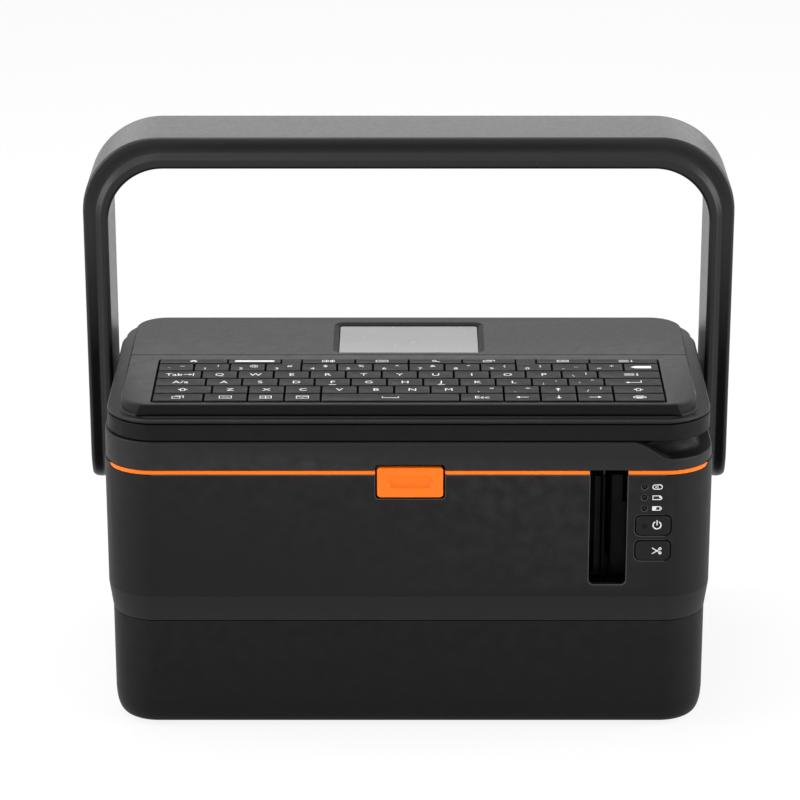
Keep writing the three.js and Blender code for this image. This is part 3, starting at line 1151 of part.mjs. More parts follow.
/** Upper half of the keyboard case: shelf, raised plate, key opening and display recess. */
function keyboardUpperCase() {
  const rimEdge = { inset: RIM_EDGE, rise: RIM_EDGE, steps: EDGE_STEPS };
  const plateEdge = { inset: PLATE_EDGE.width, rise: PLATE_EDGE.height, steps: EDGE_STEPS };
  const rim = cap(KEYBOARD_WIDTH, KEYBOARD_DEPTH, CORNER, RIM_BOTTOM, SHELF_Z, rimEdge, KEYBOARD_Y);
  const plate = cap(PLATE_WIDTH, PLATE_DEPTH, PLATE_CORNER, SHELF_Z - ROOT, PLATE_TOP, plateEdge, KEYBOARD_Y);
  const hollow = slab(
    PLATE_WIDTH - 2 * PLATE_WALL.side, PLATE_DEPTH - 2 * PLATE_WALL.end, PLATE_CORNER - WALL,
    RIM_BOTTOM - LIFT, PLATE_UNDERSIDE, KEYBOARD_Y,
  );
  const field = box(
    -FIELD_WIDTH / 2 - RUN, FIELD_WIDTH / 2 + RUN, FIELD_FRONT - RUN, FIELD_BACK + RUN,
    RIM_BOTTOM, PLATE_TOP + LIFT,
  );
  const reach = PLATE_WIDTH / 2 - BAND.inset;
  const band = box(
    -reach, reach, PLATE_FRONT - LIFT, PLATE_FRONT + BAND.recess, SHELF_Z + BAND.low, PLATE_TOP - BAND.high,
  );
  return join(cut(join(rim, plate), hollow, field, band, ...windowTools()), ...rowSpacers());
}

/** Tools for the display: a bevelled recess, the seat of the glass and the hole under it. */
function windowTools() {
  const [width, depth, corner] = [WINDOW_WIDTH + 2 * FIT, WINDOW_DEPTH + 2 * FIT, WINDOW_CORNER + FIT];
  const mouth = roundedRectangle(width + 2 * WINDOW_BEVEL, depth + 2 * WINDOW_BEVEL, corner + WINDOW_BEVEL);
  const edge = { inset: WINDOW_BEVEL, rise: WINDOW_SINK, curve: EDGE_STEPS };
  const bevel = extrude(mouth, GLASS_TOP, PLATE_TOP + LIFT, edge);
  const [across, along] = [width - 2 * WINDOW_LEDGE, depth - 2 * WINDOW_LEDGE];
  return [
    toSolid(bevel.translate(0, WINDOW_Y, 0)),
    slab(width, depth, corner, GLASS_SEAT, GLASS_TOP + PAST, WINDOW_Y, EDGE_STEPS),
    slab(across, along, WINDOW_CORNER, GLASS_SEAT - LIFT, GLASS_SEAT + LIFT, WINDOW_Y, EDGE_STEPS),
  ];
}

/** Display glass in its recess. */
function lcdWindow() {
  const outline = roundedRectangle(WINDOW_WIDTH, WINDOW_DEPTH, WINDOW_CORNER);
  const edge = { inset: WINDOW_EDGE, curve: EDGE_STEPS };
  const glass = extrude(outline, GLASS_TOP - WINDOW_THICK, GLASS_TOP, edge);
  return toSolid(glass.translate(0, WINDOW_Y, 0));
}

/** Display module on the keyboard board: glass cell on a frame. */
function lcdModule() {
  const bottom = PCB_TOP + FIT;
  const top = bottom + MODULE_FRAME.thick;
  const [across, along] = [WINDOW_WIDTH / 2 + MODULE_FRAME.side, WINDOW_DEPTH / 2 + MODULE_FRAME.end];
  const frame = box(-across, across, WINDOW_Y - along, WINDOW_Y + along, bottom, top);
  const [width, depth] = [WINDOW_WIDTH - 2 * MODULE_FRAME.cell, WINDOW_DEPTH - 2 * MODULE_FRAME.cell];
  const cell = box(
    -width / 2, width / 2, WINDOW_Y - depth / 2, WINDOW_Y + depth / 2, top - ROOT, GLASS_SEAT,
  );
  return join(frame, cell);
}

/** Circuit board of the keyboard unit. */
function keyboardBoard() {
  const back = WINDOW_BACK + PCB_MARGIN.rear;
  const [width, depth] = [FIELD_WIDTH + 2 * PCB_MARGIN.side, back - FIELD_FRONT];
  const [bottom, middle] = [PCB_TOP - BOARD.thick, (back + FIELD_FRONT) / 2];
  return slab(width, depth, PCB_MARGIN.corner, bottom, PCB_TOP, middle, EDGE_STEPS);
}

/** Silicone mat under the keys. */
function keyMat() {
  const [width, depth] = [FIELD_WIDTH - 2 * MAT.inset, FIELD_BACK - FIELD_FRONT - 2 * MAT.inset];
  const middle = (FIELD_BACK + FIELD_FRONT) / 2;
  return slab(width, depth, MAT.corner, MAT_BOTTOM, MAT_BOTTOM + MAT.thick, middle, EDGE_STEPS);
}

// Rows from front to back. Widths are in key units and fill one row; a negative one is a fixed spacer.
const SPACER_UNITS = 0.575;
const FIVE = [1, 1, 1, 1, 1];
const ELEVEN = [...FIVE, ...FIVE, 1];
const FUNCTION_KEYS = [1.925, 1.5, -SPACER_UNITS, 1.5, 1.5, 1.5, 1.5, -SPACER_UNITS, 1.5, 1.925];
const KEY_ROWS = [
  [
    ["key_row_modifiers", [1.4, 1.2, 1, 1]],
    ["key_space", [3.8]],
    ["key_cancel", [1.2]],
    ["key_row_arrows", [1, 1, 1]],
    ["key_execute", [1.4]],
  ],
  [["key_shift_left", [1.6]], ["key_row_zxcv", ELEVEN], ["key_shift_right", [1.4]]],
  [["key_row_asdf", [1.4, ...ELEVEN]], ["key_enter", [1.6]]],
  [["key_row_qwerty", [1.25, ...ELEVEN]], ["key_line", [1.75]]],
  [["key_row_digits", [...ELEVEN, 1, 1]], ["key_backspace", [1]]],
  [["key_row_function", FUNCTION_KEYS]],
];

/** Left edge and width of every key of a row, from the given start. */
function keySpans(widths, start = 0) {
  let x = start;
  return widths.map((units) => {
    const span = { left: x, width: Math.abs(units) * KEY_UNIT, fixed: units < 0 };
    x += span.width;
    return span;
  });
}

/** The two fixed spacers between the function keys. */
function rowSpacers() {
  const gap = KEY_GAP / 2;
  const spacers = keySpans(FUNCTION_KEYS, -FIELD_WIDTH / 2).filter(({ fixed }) => fixed);
  return spacers.map(({ left, width }) =>
    box(
      left + gap, left + width - gap, FIELD_BACK - FUNCTION_ROW + gap, FIELD_BACK + RUN + ROOT,
      PLATE_UNDERSIDE, PLATE_TOP,
    ),
  );
}

/** One key cap about its own middle. */
function keyCap(width, depth) {
  const [reach, half] = [(width - KEY_GAP) / 2, (depth - KEY_GAP) / 2];
  const outline = polygon([-reach, -half], [reach, -half], [reach, half], [-reach, half]);
  const whole = toSolid(extrude(outline, -LIFT, KEY_TOP - KEY_BOTTOM, { inset: KEY_DISH }));
  return cut(whole, box(-width, width, -depth, depth, -2 * LIFT, 0));
}

/** One key or one joined length of a row, from its left end at the origin. */
function keyLength(widths, depth) {
  const spans = keySpans(widths);
  const caps = spans
    .filter(({ fixed }) => !fixed)
    .map(({ left, width }) => keyCap(width, depth).translate(left + width / 2, 0, 0));
  if (caps.length === 1) return caps[0];
  const [gap, last] = [KEY_GAP / 2, spans[spans.length - 1]];
  const web = box(gap, last.left + last.width - gap, gap - depth / 2, depth / 2 - gap, 0, KEY_WEB);
  return join(web, ...caps);
}

/** Every key and joined row, placed in the opening. */
function keys() {
  const group = new THREE.Group();
  let y = FIELD_FRONT;
  for (const row of KEY_ROWS) {
    const depth = row === KEY_ROWS[KEY_ROWS.length - 1] ? FUNCTION_ROW : KEY_ROW;
    let x = -FIELD_WIDTH / 2;
    for (const [name, widths] of row) {
      group.add(placed(piece(name, keyLength(widths, depth), satinBlack), x, y + depth / 2, KEY_BOTTOM));
      x += keySpans(widths).reduce((sum, { width }) => sum + width, 0);
    }
    y += depth;
  }
  return group;
}

// ---------------------------------------------------------------- handle

/** Outline of the handle's two arms and bar, as seen from the front. */
function bowOutline() {
  const bottom = PIVOT_Z - HANDLE_DEPTH / 2;
  const corners = HANDLE_TOP - HANDLE_CORNER;
  const innerCorners = HANDLE_TOP - BAR_THICK - HANDLE_INNER_CORNER;
  const [tip, corner] = [ARM_OUTER - ARM_TIP, ARM_OUTER - HANDLE_CORNER];
  const inner = ARM_INNER - HANDLE_INNER_CORNER;
  const shape = new THREE.Shape();
  shape.moveTo(ARM_INNER, bottom);
  shape.lineTo(tip, bottom);
  shape.absarc(tip, bottom + ARM_TIP, ARM_TIP, -Math.PI / 2, 0);
  shape.absarc(corner, corners, HANDLE_CORNER, 0, Math.PI / 2);
  shape.absarc(-corner, corners, HANDLE_CORNER, Math.PI / 2, Math.PI);
  shape.absarc(-tip, bottom + ARM_TIP, ARM_TIP, Math.PI, (3 * Math.PI) / 2);
  shape.lineTo(-ARM_INNER, bottom);
  shape.absarc(-inner, innerCorners, HANDLE_INNER_CORNER, Math.PI, Math.PI / 2, true);
  shape.absarc(inner, innerCorners, HANDLE_INNER_CORNER, Math.PI / 2, 0, true);
  return shape;
}

/** U-shaped handle with round arm ends and a blind bore for each pivot. */
function handle() {
  const half = HANDLE_DEPTH / 2;
  const edge = { inset: HANDLE_EDGE, steps: EDGE_STEPS };
  const bow = frontPrism(bowOutline(), PIVOT_Y - half, PIVOT_Y + half, edge);
  const side = new THREE.Shape();
  side.absarc(PIVOT_Y, PIVOT_Z, half, Math.PI, 2 * Math.PI);
  side.lineTo(PIVOT_Y + half, HANDLE_TOP + LIFT);
  side.lineTo(PIVOT_Y - half, HANDLE_TOP + LIFT);
  const rounded = bow.intersect(sidePrism(side, -ARM_OUTER - LIFT, ARM_OUTER + LIFT));
  const bores = [-1, 1].map((end) => {
    const ends = [end * (ARM_INNER - FIT), end * (ARM_INNER + PIVOT_DEPTH + FIT)];
    return rodX(PIVOT_RADIUS + FIT, Math.min(...ends), Math.max(...ends), PIVOT_Y, PIVOT_Z);
  });
  return cut(rounded, ...bores);
}

/** Pivot pin with the washer that keeps the arm off the housing. */
function handlePivot(side) {
  const inside = RIGHT - WALL;
  const profile = [
    [0, inside - PIVOT_HEAD],
    [PIVOT_RADIUS + PIVOT_HEAD, inside - PIVOT_HEAD],
    [PIVOT_RADIUS + PIVOT_HEAD, inside - FIT],
    [PIVOT_RADIUS, inside - FIT],
    [PIVOT_RADIUS, RIGHT + FIT],
    [PIVOT_RADIUS + WASHER_REACH, RIGHT + FIT],
    [PIVOT_RADIUS + WASHER_REACH, ARM_INNER - FIT],
    [PIVOT_RADIUS, ARM_INNER - FIT],
    [PIVOT_RADIUS, ARM_INNER + PIVOT_DEPTH - FIT],
    [0, ARM_INNER + PIVOT_DEPTH - FIT],
  ].map(([r, h]) => new THREE.Vector2(r, h));
  const geometry = new THREE.LatheGeometry(profile, SIDES.large).rotateZ((-side * Math.PI) / 2);
  return toSolid(geometry.translate(0, PIVOT_Y, PIVOT_Z));
}

// ---------------------------------------------------------------- assembly

/** A mesh moved to its place. */
function placed(mesh, x, y, z) {
  mesh.position.set(x, y, z);
  return mesh;
}

/** Tray, feet, battery and electronics. */
function lowerCase() {
  const group = new THREE.Group();
  group.add(
    piece("base_tray", baseTray(), charcoal),
    ...footPlaces().map(({ name, x, y }) => placed(piece(name, foot(), softRubber), x, y, 0)),
    piece("battery_door", batteryDoor(), charcoal),
    piece("battery_pack", batteryPack(), satinBlack),
    piece("main_board", mainBoard(), boardGreen),
    piece("power_inlet", powerInlet(), satinBlack),
    piece("data_socket", dataSocket(), aluminium),
  );
  return group;
}

/** Housing with its trim, front controls and pivots. */
function mainCase() {
  const group = new THREE.Group();
  group.add(
    piece("mid_housing", midHousing(), charcoal),
    ...trimStrips(),
    piece("exit_chute", exitChute(), glossBlack),
    piece("status_lights", statusLights(), displayGlass),
    piece("tube_inlet", tubeInlet(), satinBlack),
    piece("release_button", releaseButton(), accentOrange),
    piece("power_button", panelButton(POWER_Z), satinBlack),
    piece("cut_button", panelButton(CUT_Z), satinBlack),
  );
  for (const [side, sign] of [["left", -1], ["right", 1]]) {
    group.add(
      piece(`handle_pivot_${side}`, handlePivot(sign), steel),
      piece(`hinge_pin_${side}`, hingePin(sign), steel),
    );
  }
  return group;
}

/** The three gears of the roller's drive, in mesh. */
function gearTrain() {
  const idlerTurn = meshTurn(IDLER_TEETH, IDLER_ANGLE);
  const pinion = gear(PINION_TEETH, MOTOR.shaft + FIT, pinionPhase(idlerTurn));
  const idler = gear(IDLER_TEETH, STUB_RADIUS + FIT, idlerTurn);
  const platen = gear(PLATEN_TEETH, SHAFT_RADIUS + FIT, IDLER_ANGLE);
  return [
    placed(piece("motor_pinion", pinion, brass), MOTOR_X, MOTOR_Y, GEAR_Z),
    placed(piece("idler_gear", idler, gearWhite), IDLER_X, IDLER_Y, GEAR_Z),
    placed(piece("platen_gear", platen, gearWhite), ROLLER_X, ROLLER_Y, GEAR_Z),
  ];
}

/** Deck, drive, head, cutter and cassettes. */
function mechanism() {
  const group = new THREE.Group();
  group.add(
    piece("chassis_deck", chassisDeck(), steel),
    piece("drive_motor", driveMotor(), aluminium),
    ...gearTrain(),
    placed(piece("platen_roller", platenRoller(), softRubber), ROLLER_X, ROLLER_Y, 0),
    piece("roller_holder", rollerHolder(), steel),
    piece("print_head", printHead(), gearWhite),
    piece("heat_sink", heatSink(), aluminium),
    piece("cutter_anvil", cutterAnvil(), steel),
    piece("cutter_blade", cutterBlade(), steel),
    piece("tape_cassette", tapeCassette(), cassetteGrey),
    piece("ribbon_cassette", ribbonCassette(), cassetteGrey),
  );
  return group;
}

/** Lid with the keyboard unit on it. */
function lidAssembly() {
  const group = new THREE.Group();
  group.add(
    piece("top_lid", topLid(), charcoal),
    piece("keyboard_lower_case", keyboardLowerCase(), charcoal),
    piece("keyboard_upper_case", keyboardUpperCase(), charcoal),
    piece("lcd_window", lcdWindow(), displayGlass),
    piece("lcd_module", lcdModule(), cassetteGrey),
    piece("keyboard_board", keyboardBoard(), boardGreen),
    piece("key_mat", keyMat(), softRubber),
    keys(),
  );
  return group;
}

const labelMaker = new THREE.Group();
labelMaker.name = "label_maker";
labelMaker.add(lowerCase(), mainCase(), mechanism(), lidAssembly(), piece("handle", handle(), charcoal));

export default labelMaker;
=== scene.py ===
"""Looks of a portable label and tube printer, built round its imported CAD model.

Sizes are in millimetres, in the frame of the CAD model: +X right, +Y back, +Z up. The workshop turns
them into metres when a mesh is made.
"""

import json
import logging
import math
from dataclasses import dataclass, field
from enum import Enum
from typing import Callable, Iterable, Optional, Sequence, Tuple

import bmesh
import bpy
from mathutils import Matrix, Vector


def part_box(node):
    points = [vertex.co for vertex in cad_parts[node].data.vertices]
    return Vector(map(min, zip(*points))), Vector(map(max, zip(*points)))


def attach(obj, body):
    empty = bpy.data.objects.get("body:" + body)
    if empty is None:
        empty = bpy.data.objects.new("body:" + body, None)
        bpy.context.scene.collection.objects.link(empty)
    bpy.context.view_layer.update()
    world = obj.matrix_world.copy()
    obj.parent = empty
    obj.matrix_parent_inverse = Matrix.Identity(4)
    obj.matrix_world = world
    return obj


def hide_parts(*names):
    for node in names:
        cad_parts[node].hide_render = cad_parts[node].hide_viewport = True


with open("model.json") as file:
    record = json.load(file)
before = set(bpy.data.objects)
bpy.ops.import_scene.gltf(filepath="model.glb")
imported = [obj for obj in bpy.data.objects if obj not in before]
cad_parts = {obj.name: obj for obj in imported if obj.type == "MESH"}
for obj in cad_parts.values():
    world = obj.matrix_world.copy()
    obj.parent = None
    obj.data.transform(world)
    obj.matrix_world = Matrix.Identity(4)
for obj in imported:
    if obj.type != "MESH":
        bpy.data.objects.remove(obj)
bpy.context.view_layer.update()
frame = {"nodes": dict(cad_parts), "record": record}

MM = 0.001

FAR = 200.0  # past the object on every side, for tools that cut right through
NEAR_AXIS = 0.01  # smallest radius of a turned profile
SKIN = 0.00002  # height in metres of the finest relief
SAME_POINT = 2e-7  # metres between points that a new mesh merges
WELD = 2e-6  # metres between points that are merged after a cut
FLAT_ANGLE = 0.6  # degrees between faces that are merged
SHARP_ANGLE = 48.0  # degrees between faces whose edge is shaded sharp

Flat = Tuple[float, float]
Spot = Tuple[float, float, float]
Ring = list[Spot]
Colour = Tuple[float, float, float]
Piece = bpy.types.Object
Material = bpy.types.Material
Socket = bpy.types.NodeSocket

log = logging.getLogger("label_maker")


class Slot(Enum):
    """Material slots of the record."""

    CASE = "case_plastic"
    BUTTON = "button_black"
    KEY = "key_black"
    GLOSS = "gloss_black"
    ORANGE = "accent_orange"
    GLASS = "display_glass"
    LIGHT = "light_pipe"
    CELL = "display_cell"
    RUBBER = "soft_rubber"
    STEEL = "bare_steel"
    ALUMINIUM = "cast_aluminium"
    BRASS = "pinion_brass"
    GEAR = "gear_plastic"
    CERAMIC = "head_ceramic"
    BOARD = "board_green"
    CASSETTE = "cassette_plastic"


# ---------------- finishes


class Nodes:
    """Short hand for wiring the node tree of one material."""

    def __init__(self, name: str) -> None:
        """Starts a material with one surface shader.

        Args:
            name: name of the material.
        """
        self.material = bpy.data.materials.new(name)
        self.material.use_nodes = True
        self.tree = self.material.node_tree
        self.shader = self.tree.nodes["Principled BSDF"]
        self.place = self.tree.nodes.new("ShaderNodeTexCoord")

    def add(self, kind: str, **values: object) -> bpy.types.Node:
        """Adds a node.

        Args:
            kind: type name of the node.
            values: its settings, and its input values by socket name.

        Returns:
            The new node.
        """
        node = self.tree.nodes.new(kind)
        for key, value in values.items():
            if key in node.inputs:
                node.inputs[key].default_value = value
            else:
                setattr(node, key, value)
        return node

    def join(self, source: Socket, target: Socket) -> None:
        """Links two sockets."""
        self.tree.links.new(source, target)

    def finished(self, colour: Socket, roughness: Socket, normal: Socket, **values: float) -> Material:
        """Wires the shader and sets its plain values.

        Args:
            colour: socket of the base colour.
            roughness: socket of the roughness.
            normal: socket of the normal.
            values: other inputs by name, with _ for each blank.

        Returns:
            The finished material.
        """
        for name, socket in (("Base Color", colour), ("Roughness", roughness), ("Normal", normal)):
            self.join(socket, self.shader.inputs[name])
        for name, value in values.items():
            self.shader.inputs[name.replace("_", " ")].default_value = value
        return self.material

    def noise(self, scale: float, detail: float = 2.0, rough: float = 0.5) -> Socket:
        """Adds a noise pattern fixed to the object.

        Args:
            scale: features per metre.
            detail: number of octaves.
            rough: strength of the finer octaves.

        Returns:
            The socket of its value.
        """
        node = self.add("ShaderNodeTexNoise", Scale=scale, Detail=detail, Roughness=rough)
        self.join(self.place.outputs["Object"], node.inputs["Vector"])
        return node.outputs["Fac"]

    def span(self, value: Socket, low: float, high: float, to_low: float,
             to_high: float) -> Socket:
        """Maps a value from one span to another, clamped at both ends.

        Args:
            value: socket that is read.
            low: start of its span.
            high: end of its span.
            to_low: result at the start.
            to_high: result at the end.

        Returns:
            The socket of the result.
        """
        node = self.add("ShaderNodeMapRange")
        for name, number in (("From Min", low), ("From Max", high), ("To Min", to_low), ("To Max", to_high)):
            node.inputs[name].default_value = number
        self.join(value, node.inputs["Value"])
        return node.outputs["Result"]

    def blend(self, share: Socket, first: object, second: Colour) -> Socket:
        """Blends two colours.

        Args:
            share: socket that says how much of the second shows.
            first: a colour, or the socket of one.
            second: a colour.

        Returns:
            The socket of the blend.
        """
        node = self.add("ShaderNodeMix", data_type="RGBA")
        self.join(share, node.inputs["Factor"])
        if isinstance(first, Socket):
            self.join(first, node.inputs[6])
        else:
            node.inputs[6].default_value = (*first, 1.0)
        node.inputs[7].default_value = (*second, 1.0)
        return node.outputs[2]

    def relief(self, height: Socket, depth: float, strength: float,
               below: Optional[Socket] = None) -> Socket:
        """Adds a bump.

        Args:
            height: socket of the height.
            depth: height of the bump in metres.
            strength: share of it that shows.
            below: socket of the bump that this one lies on.

        Returns:
            The socket of the normal.
        """
        node = self.add("ShaderNodeBump", Strength=strength, Distance=depth)
        self.join(height, node.inputs["Height"])
        if below is not None:
            self.join(below, node.inputs["Normal"])
        return node.outputs["Normal"]

    def edge_wear_and_highlight(self) -> Socket:
        """Adds a mask that is 1 on outer edges, broken up by noise; it brightens edges for wear and as a
        painted highlight.

        Returns:
            The socket of the mask.
        """
        shape = self.add("ShaderNodeNewGeometry")
        edge = self.span(shape.outputs["Pointiness"], 0.52, 0.60, 0.0, 1.0)
        product = self.add("ShaderNodeMath", operation="MULTIPLY")
        self.join(edge, product.inputs[0])
        self.join(self.span(self.noise(140.0), 0.35, 0.7, 0.25, 1.0), product.inputs[1])
        return product.outputs[0]


def shade(colour: Colour, factor: float) -> Colour:
    """Scales a colour."""
    return tuple(min(1.0, channel * factor) for channel in colour)


@dataclass(frozen=True)
class MouldedPlastic:
    """Injection-moulded plastic with an etched grain, and edges brightened for wear and as a painted
    highlight.
    """

    name: str
    colour: Colour
    roughness: float = 0.5
    shine: float = 0.3
    grain: float = 1500.0
    depth: float = 0.0001
    strength: float = 0.4
    # Brightening of the outer edges: edge wear, and a painted highlight on the edges.
    wear_and_highlight: float = 1.6

    def material(self) -> Material:
        """Builds the material.

        Returns:
            The finished material.
        """
        nodes = Nodes(self.name)
        broad = nodes.noise(18.0, 3.0)
        tone = nodes.blend(nodes.span(broad, 0.3, 0.7, 0.0, 1.0), shade(self.colour, 0.97),
                           shade(self.colour, 1.03))
        # Outer edges brighten by the wear factor: edge wear, and a painted highlight on the edges.
        worn_and_lit = nodes.blend(nodes.edge_wear_and_highlight(), tone, shade(self.colour, self.wear_and_highlight))
        gloss = nodes.span(nodes.noise(420.0, 4.0), 0.3, 0.7, self.roughness - 0.03, self.roughness + 0.03)
        coarse = nodes.relief(nodes.noise(self.grain * 0.4, 1.0), self.depth, self.strength * 0.5)
        fine = nodes.relief(nodes.noise(self.grain, 2.0, 0.6), self.depth, self.strength, coarse)
        return nodes.finished(worn_and_lit, gloss, fine, Specular_IOR_Level=self.shine)


@dataclass(frozen=True)
class GlossPlastic:
    """Polished plastic with faint smears and fine scratches."""

    name: str
    colour: Colour
    roughness: float = 0.12
    shine: float = 0.15

    def material(self) -> Material:
        """Builds the material.

        Returns:
            The finished material.
        """
        nodes = Nodes(self.name)
        smear = nodes.noise(30.0, 5.0, 0.6)
        tone = nodes.blend(nodes.span(smear, 0.4, 0.8, 0.0, 1.0), self.colour, shade(self.colour, 1.5))
        gloss = nodes.span(smear, 0.35, 0.75, self.roughness, self.roughness + 0.1)
        scratches = nodes.relief(nodes.noise(350.0, 2.0), SKIN, 0.08)
        return nodes.finished(tone, gloss, scratches, Specular_IOR_Level=self.shine)


@dataclass(frozen=True)
class DisplayPane:
    """Switched-off display behind its pane: pale grey with the faint grid of its cells."""

    name: str
    colour: Colour
    pitch: float = 2000.0

    def material(self) -> Material:
        """Builds the material.

        Returns:
            The finished material.
        """
        nodes = Nodes(self.name)
        lines = nodes.add("ShaderNodeTexWave", bands_direction="X", Scale=self.pitch / 20.0)
        rows = nodes.add("ShaderNodeTexWave", bands_direction="Y", Scale=self.pitch / 20.0)
        for wave in (lines, rows):
            nodes.join(nodes.place.outputs["Object"], wave.inputs["Vector"])
        grid = nodes.add("ShaderNodeMath", operation="MULTIPLY")
        nodes.join(lines.outputs["Fac"], grid.inputs[0])
        nodes.join(rows.outputs["Fac"], grid.inputs[1])
        tone = nodes.blend(nodes.span(grid.outputs[0], 0.0, 1.0, 0.0, 1.0), shade(self.colour, 0.985),
                           shade(self.colour, 1.01))
        cloud = nodes.blend(nodes.span(nodes.noise(22.0, 2.0), 0.35, 0.75, 0.0, 0.6), tone,
                            shade(self.colour, 0.95))
        gloss = nodes.span(nodes.noise(40.0, 4.0), 0.3, 0.7, 0.2, 0.3)
        ripple = nodes.relief(nodes.noise(900.0, 1.0), SKIN, 0.05)
        return nodes.finished(cloud, gloss, ripple, Specular_IOR_Level=0.25, Coat_Weight=0.25,
                              Coat_Roughness=0.06)


@dataclass(frozen=True)
class Rubber:
    """Matt rubber with a pitted skin and a trace of dust."""

    name: str
    colour: Colour

    def material(self) -> Material:
        """Builds the material.

        Returns:
            The finished material.
        """
        nodes = Nodes(self.name)
        dust = nodes.span(nodes.noise(90.0, 5.0, 0.7), 0.5, 0.8, 0.0, 0.5)
        tone = nodes.blend(dust, self.colour, shade(self.colour, 2.5))
        gloss = nodes.span(dust, 0.0, 0.5, 0.8, 0.92)
        pits = nodes.relief(nodes.noise(1500.0, 3.0), 0.0001, 0.4)
        return nodes.finished(tone, gloss, pits, Specular_IOR_Level=0.3)


@dataclass(frozen=True)
class Metal:
    """Bare metal, drawn or rolled along one axis."""

    name: str
    colour: Colour
    roughness: float = 0.34
    stretch: Spot = (1.0, 1.0, 0.05)
    strength: float = 0.15

    def material(self) -> Material:
        """Builds the material.

        Returns:
            The finished material.
        """
        nodes = Nodes(self.name)
        grain = nodes.add("ShaderNodeMapping", Scale=self.stretch)
        nodes.join(nodes.place.outputs["Object"], grain.inputs["Vector"])
        streak = nodes.add("ShaderNodeTexNoise", Scale=2600.0, Detail=3.0)
        nodes.join(grain.outputs["Vector"], streak.inputs["Vector"])
        cloud = nodes.noise(45.0, 4.0)
        tone = nodes.blend(nodes.span(cloud, 0.35, 0.75, 0.0, 1.0), self.colour, shade(self.colour, 0.82))
        bright = nodes.blend(nodes.edge_wear_and_highlight(), tone, shade(self.colour, 1.15))
        gloss = nodes.span(cloud, 0.3, 0.7, self.roughness - 0.08, self.roughness + 0.1)
        return nodes.finished(bright, gloss, nodes.relief(streak.outputs["Fac"], SKIN, self.strength),
                              Metallic=1.0)


@dataclass(frozen=True)
class CircuitBoard:
    """Solder mask over copper tracks."""

    name: str
    colour: Colour

    def material(self) -> Material:
        """Builds the material.

        Returns:
            The finished material.
        """
        nodes = Nodes(self.name)
        cells = nodes.add("ShaderNodeTexVoronoi", Scale=260.0, feature="DISTANCE_TO_EDGE")
        nodes.join(nodes.place.outputs["Object"], cells.inputs["Vector"])
        track = nodes.span(cells.outputs["Distance"], 0.03, 0.06, 1.0, 0.0)
        tone = nodes.blend(track, self.colour, shade(self.colour, 1.9))
        gloss = nodes.span(nodes.noise(120.0), 0.3, 0.7, 0.3, 0.5)
        return nodes.finished(tone, gloss, nodes.relief(track, 0.00005, 0.4))


@dataclass(frozen=True)
class Print:
    """Opaque ink with a slightly uneven lay. The same finish paints the highlight on the display pane's rim.
    """

    name: str
    colour: Colour
    roughness: float = 0.5

    def material(self) -> Material:
        """Builds the material.

        Returns:
            The finished material.
        """
        nodes = Nodes(self.name)
        patch = nodes.noise(800.0, 3.0)
        tone = nodes.blend(nodes.span(patch, 0.4, 0.8, 0.0, 1.0), self.colour, shade(self.colour, 0.85))
        gloss = nodes.span(patch, 0.3, 0.7, self.roughness - 0.05, self.roughness + 0.1)
        return nodes.finished(tone, gloss, nodes.relief(patch, SKIN, 0.1), Specular_IOR_Level=0.3)


